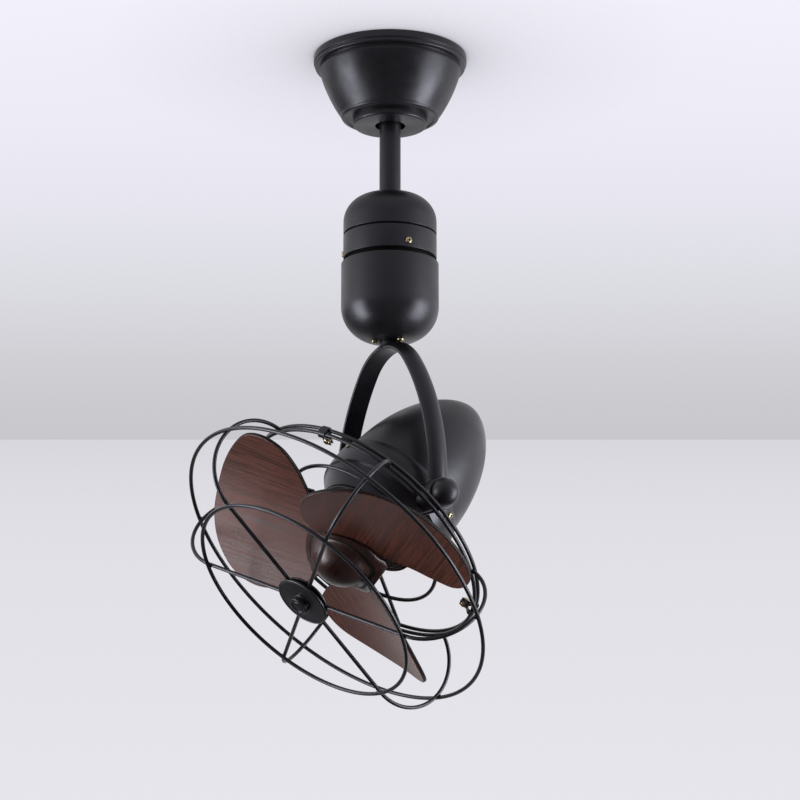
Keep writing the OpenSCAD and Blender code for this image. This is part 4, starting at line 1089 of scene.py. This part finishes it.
def ceilingGlow(tree, across, along):
    near, far, strength = glow["sides"]
    sides = spread(tree, combine(tree, "ABSOLUTE", across, 0.0), 0, strength, near, far)
    front, back, least, most = glow["ceiling"]
    return combine(tree, "ADD", spread(tree, along, least, most, front, back), sides)


def wallGlow(tree, across, height):
    low, middle, lowShare = glow["wallLow"]
    start, top, highShare = glow["wallHigh"]
    rise = combine(tree, "MULTIPLY_ADD", spread(tree, height, 0, 1, start, top), highShare,
                   spread(tree, height, 0, lowShare, low, middle))
    return combine(tree, "MULTIPLY_ADD", spread(tree, across, 0, 1, *glow["wallAcross"]), rise,
                   glow["wallLeast"])


def floorGlow(tree, across, along):
    back, front, least, most = glow["floor"]
    return spread(tree, along, least, most, back, front)


# the soft dark ring on the ceiling round the canopy, faded out farther away
def canopyContact(tree, place):
    near = add(tree, "ShaderNodeAmbientOcclusion", {"Distance": contact["reach"]},
               samples=contact["samples"])
    away = add(tree, "ShaderNodeVectorMath", {
        0: place.outputs["Object"], 1: (-below.dot(right), below.dot(ahead), 0)},
        operation="DISTANCE")
    share = spread(tree, away.outputs["Value"], contact["share"], 0, contact["fadeFrom"],
                   contact["fadeTo"])
    dark = combine(tree, "SUBTRACT", 1.0, near.outputs["AO"])
    return combine(tree, "SUBTRACT", 1.0, combine(tree, "MULTIPLY", dark, share))


# tones run from low to high along the sheet's own Y, and the glow lights the object alone
def stageMaterial(name, tones, low, high, shine, shade=None):
    material, tree, shader = startMaterial(name)
    tree.nodes.remove(shader)
    place = add(tree, "ShaderNodeTexCoord")
    split = add(tree, "ShaderNodeSeparateXYZ", {0: place.outputs["Object"]})
    ramp = add(tree, "ShaderNodeValToRGB", {"Fac": spread(tree, split.outputs[1], 0, 1,
                                                          low, high)})
    stops = ramp.color_ramp.elements
    for position, tone in tones[1:-1]:
        stops.new(position)
    for stop, (position, tone) in zip(stops, tones):
        stop.position = position
        stop.color = linear(*tone)
    seen = add(tree, "ShaderNodeEmission", {
        "Color": ramp.outputs[0], "Strength": shade(tree, place) if shade else 1.0})
    lit = add(tree, "ShaderNodeBsdfDiffuse", {"Color": stageColours["sheet"]})
    both = add(tree, "ShaderNodeAddShader", {0: seen.outputs[0], 1: lit.outputs[0]})
    glowing = add(tree, "ShaderNodeEmission", {
        "Color": stageColours["glow"],
        "Strength": shine(tree, split.outputs[0], split.outputs[1])})
    path = add(tree, "ShaderNodeLightPath")
    mixed = add(tree, "ShaderNodeMixShader", {
        0: path.outputs["Is Camera Ray"], 1: glowing.outputs[0], 2: both.outputs[0]})
    sides = add(tree, "ShaderNodeNewGeometry")
    clear = add(tree, "ShaderNodeBsdfTransparent")
    final = add(tree, "ShaderNodeMixShader", {
        0: sides.outputs["Backfacing"], 1: mixed.outputs[0], 2: clear.outputs[0]})
    plug(tree, tree.nodes["Material Output"], {"Surface": final.outputs[0]})
    return material


def stageSheet(name, origin, turn, material):
    bm = bmesh.new()
    bmesh.ops.create_grid(bm, x_segments=1, y_segments=1, size=stageSizes["half"])
    mesh = meshOf(bm, name)
    mesh.materials.append(material)
    sheetObject = bpy.data.objects.new(name, mesh)
    sheetObject.matrix_world = Matrix.Translation(origin) @ heading @ turn
    scene.collection.objects.link(sheetObject)


stageSheet("ceiling", below + up * stageSizes["ceiling"], facingDown, stageMaterial(
    "ceiling_white", ceilingTones, -stageSizes["overhead"], -stageSizes["wall"], ceilingGlow,
    canopyContact))
stageSheet("wall", below + ahead * stageSizes["wall"],
           Matrix.Rotation(math.radians(90), 4, "X"),
           stageMaterial("wall_white", wallTones, 0, stageSizes["wallFade"], wallGlow))
stageSheet("floor", up * stageSizes["floor"], upright,
           stageMaterial("floor_white", floorTones, -stageSizes["floorFade"],
                         stageSizes["floorFade"], floorGlow))

world = bpy.data.worlds.new("studio")
scene.world = world
world.use_nodes = True
background = world.node_tree.nodes["Background"]
path = add(world.node_tree, "ShaderNodeLightPath")
tone = blendColours(world.node_tree, path.outputs["Is Camera Ray"], stageColours["ambient"],
                    linear(*stageColours["backdrop"]))
plug(world.node_tree, background, {"Color": tone})

# softboxes: degrees from the camera's side, height, metres away, width, height, watts
softboxes = {"right": (80, -0.88, 1.5, 0.7, 1.4, 33), "left": (-80, -0.88, 1.5, 0.7, 1.4, 26)}
for label, (turn, height, away, wide, tall, power) in softboxes.items():
    outward = Matrix.Rotation(math.radians(turn), 3, "Z") @ -ahead
    data = bpy.data.lights.new("softbox_" + label, "AREA")
    data.shape = "RECTANGLE"
    data.size = wide
    data.size_y = tall
    data.energy = power
    data.color = stageColours["lamp"]
    lamp = bpy.data.objects.new("softbox_" + label, data)
    scene.collection.objects.link(lamp)
    lamp.location = outward * away + up * height
    lamp.rotation_euler = outward.to_track_quat("Z", "Y").to_euler()
    lamp.visible_camera = False

scene.view_settings.view_transform = "Standard"
scene.view_settings.look = "None"
print("stage, camera and lights made")
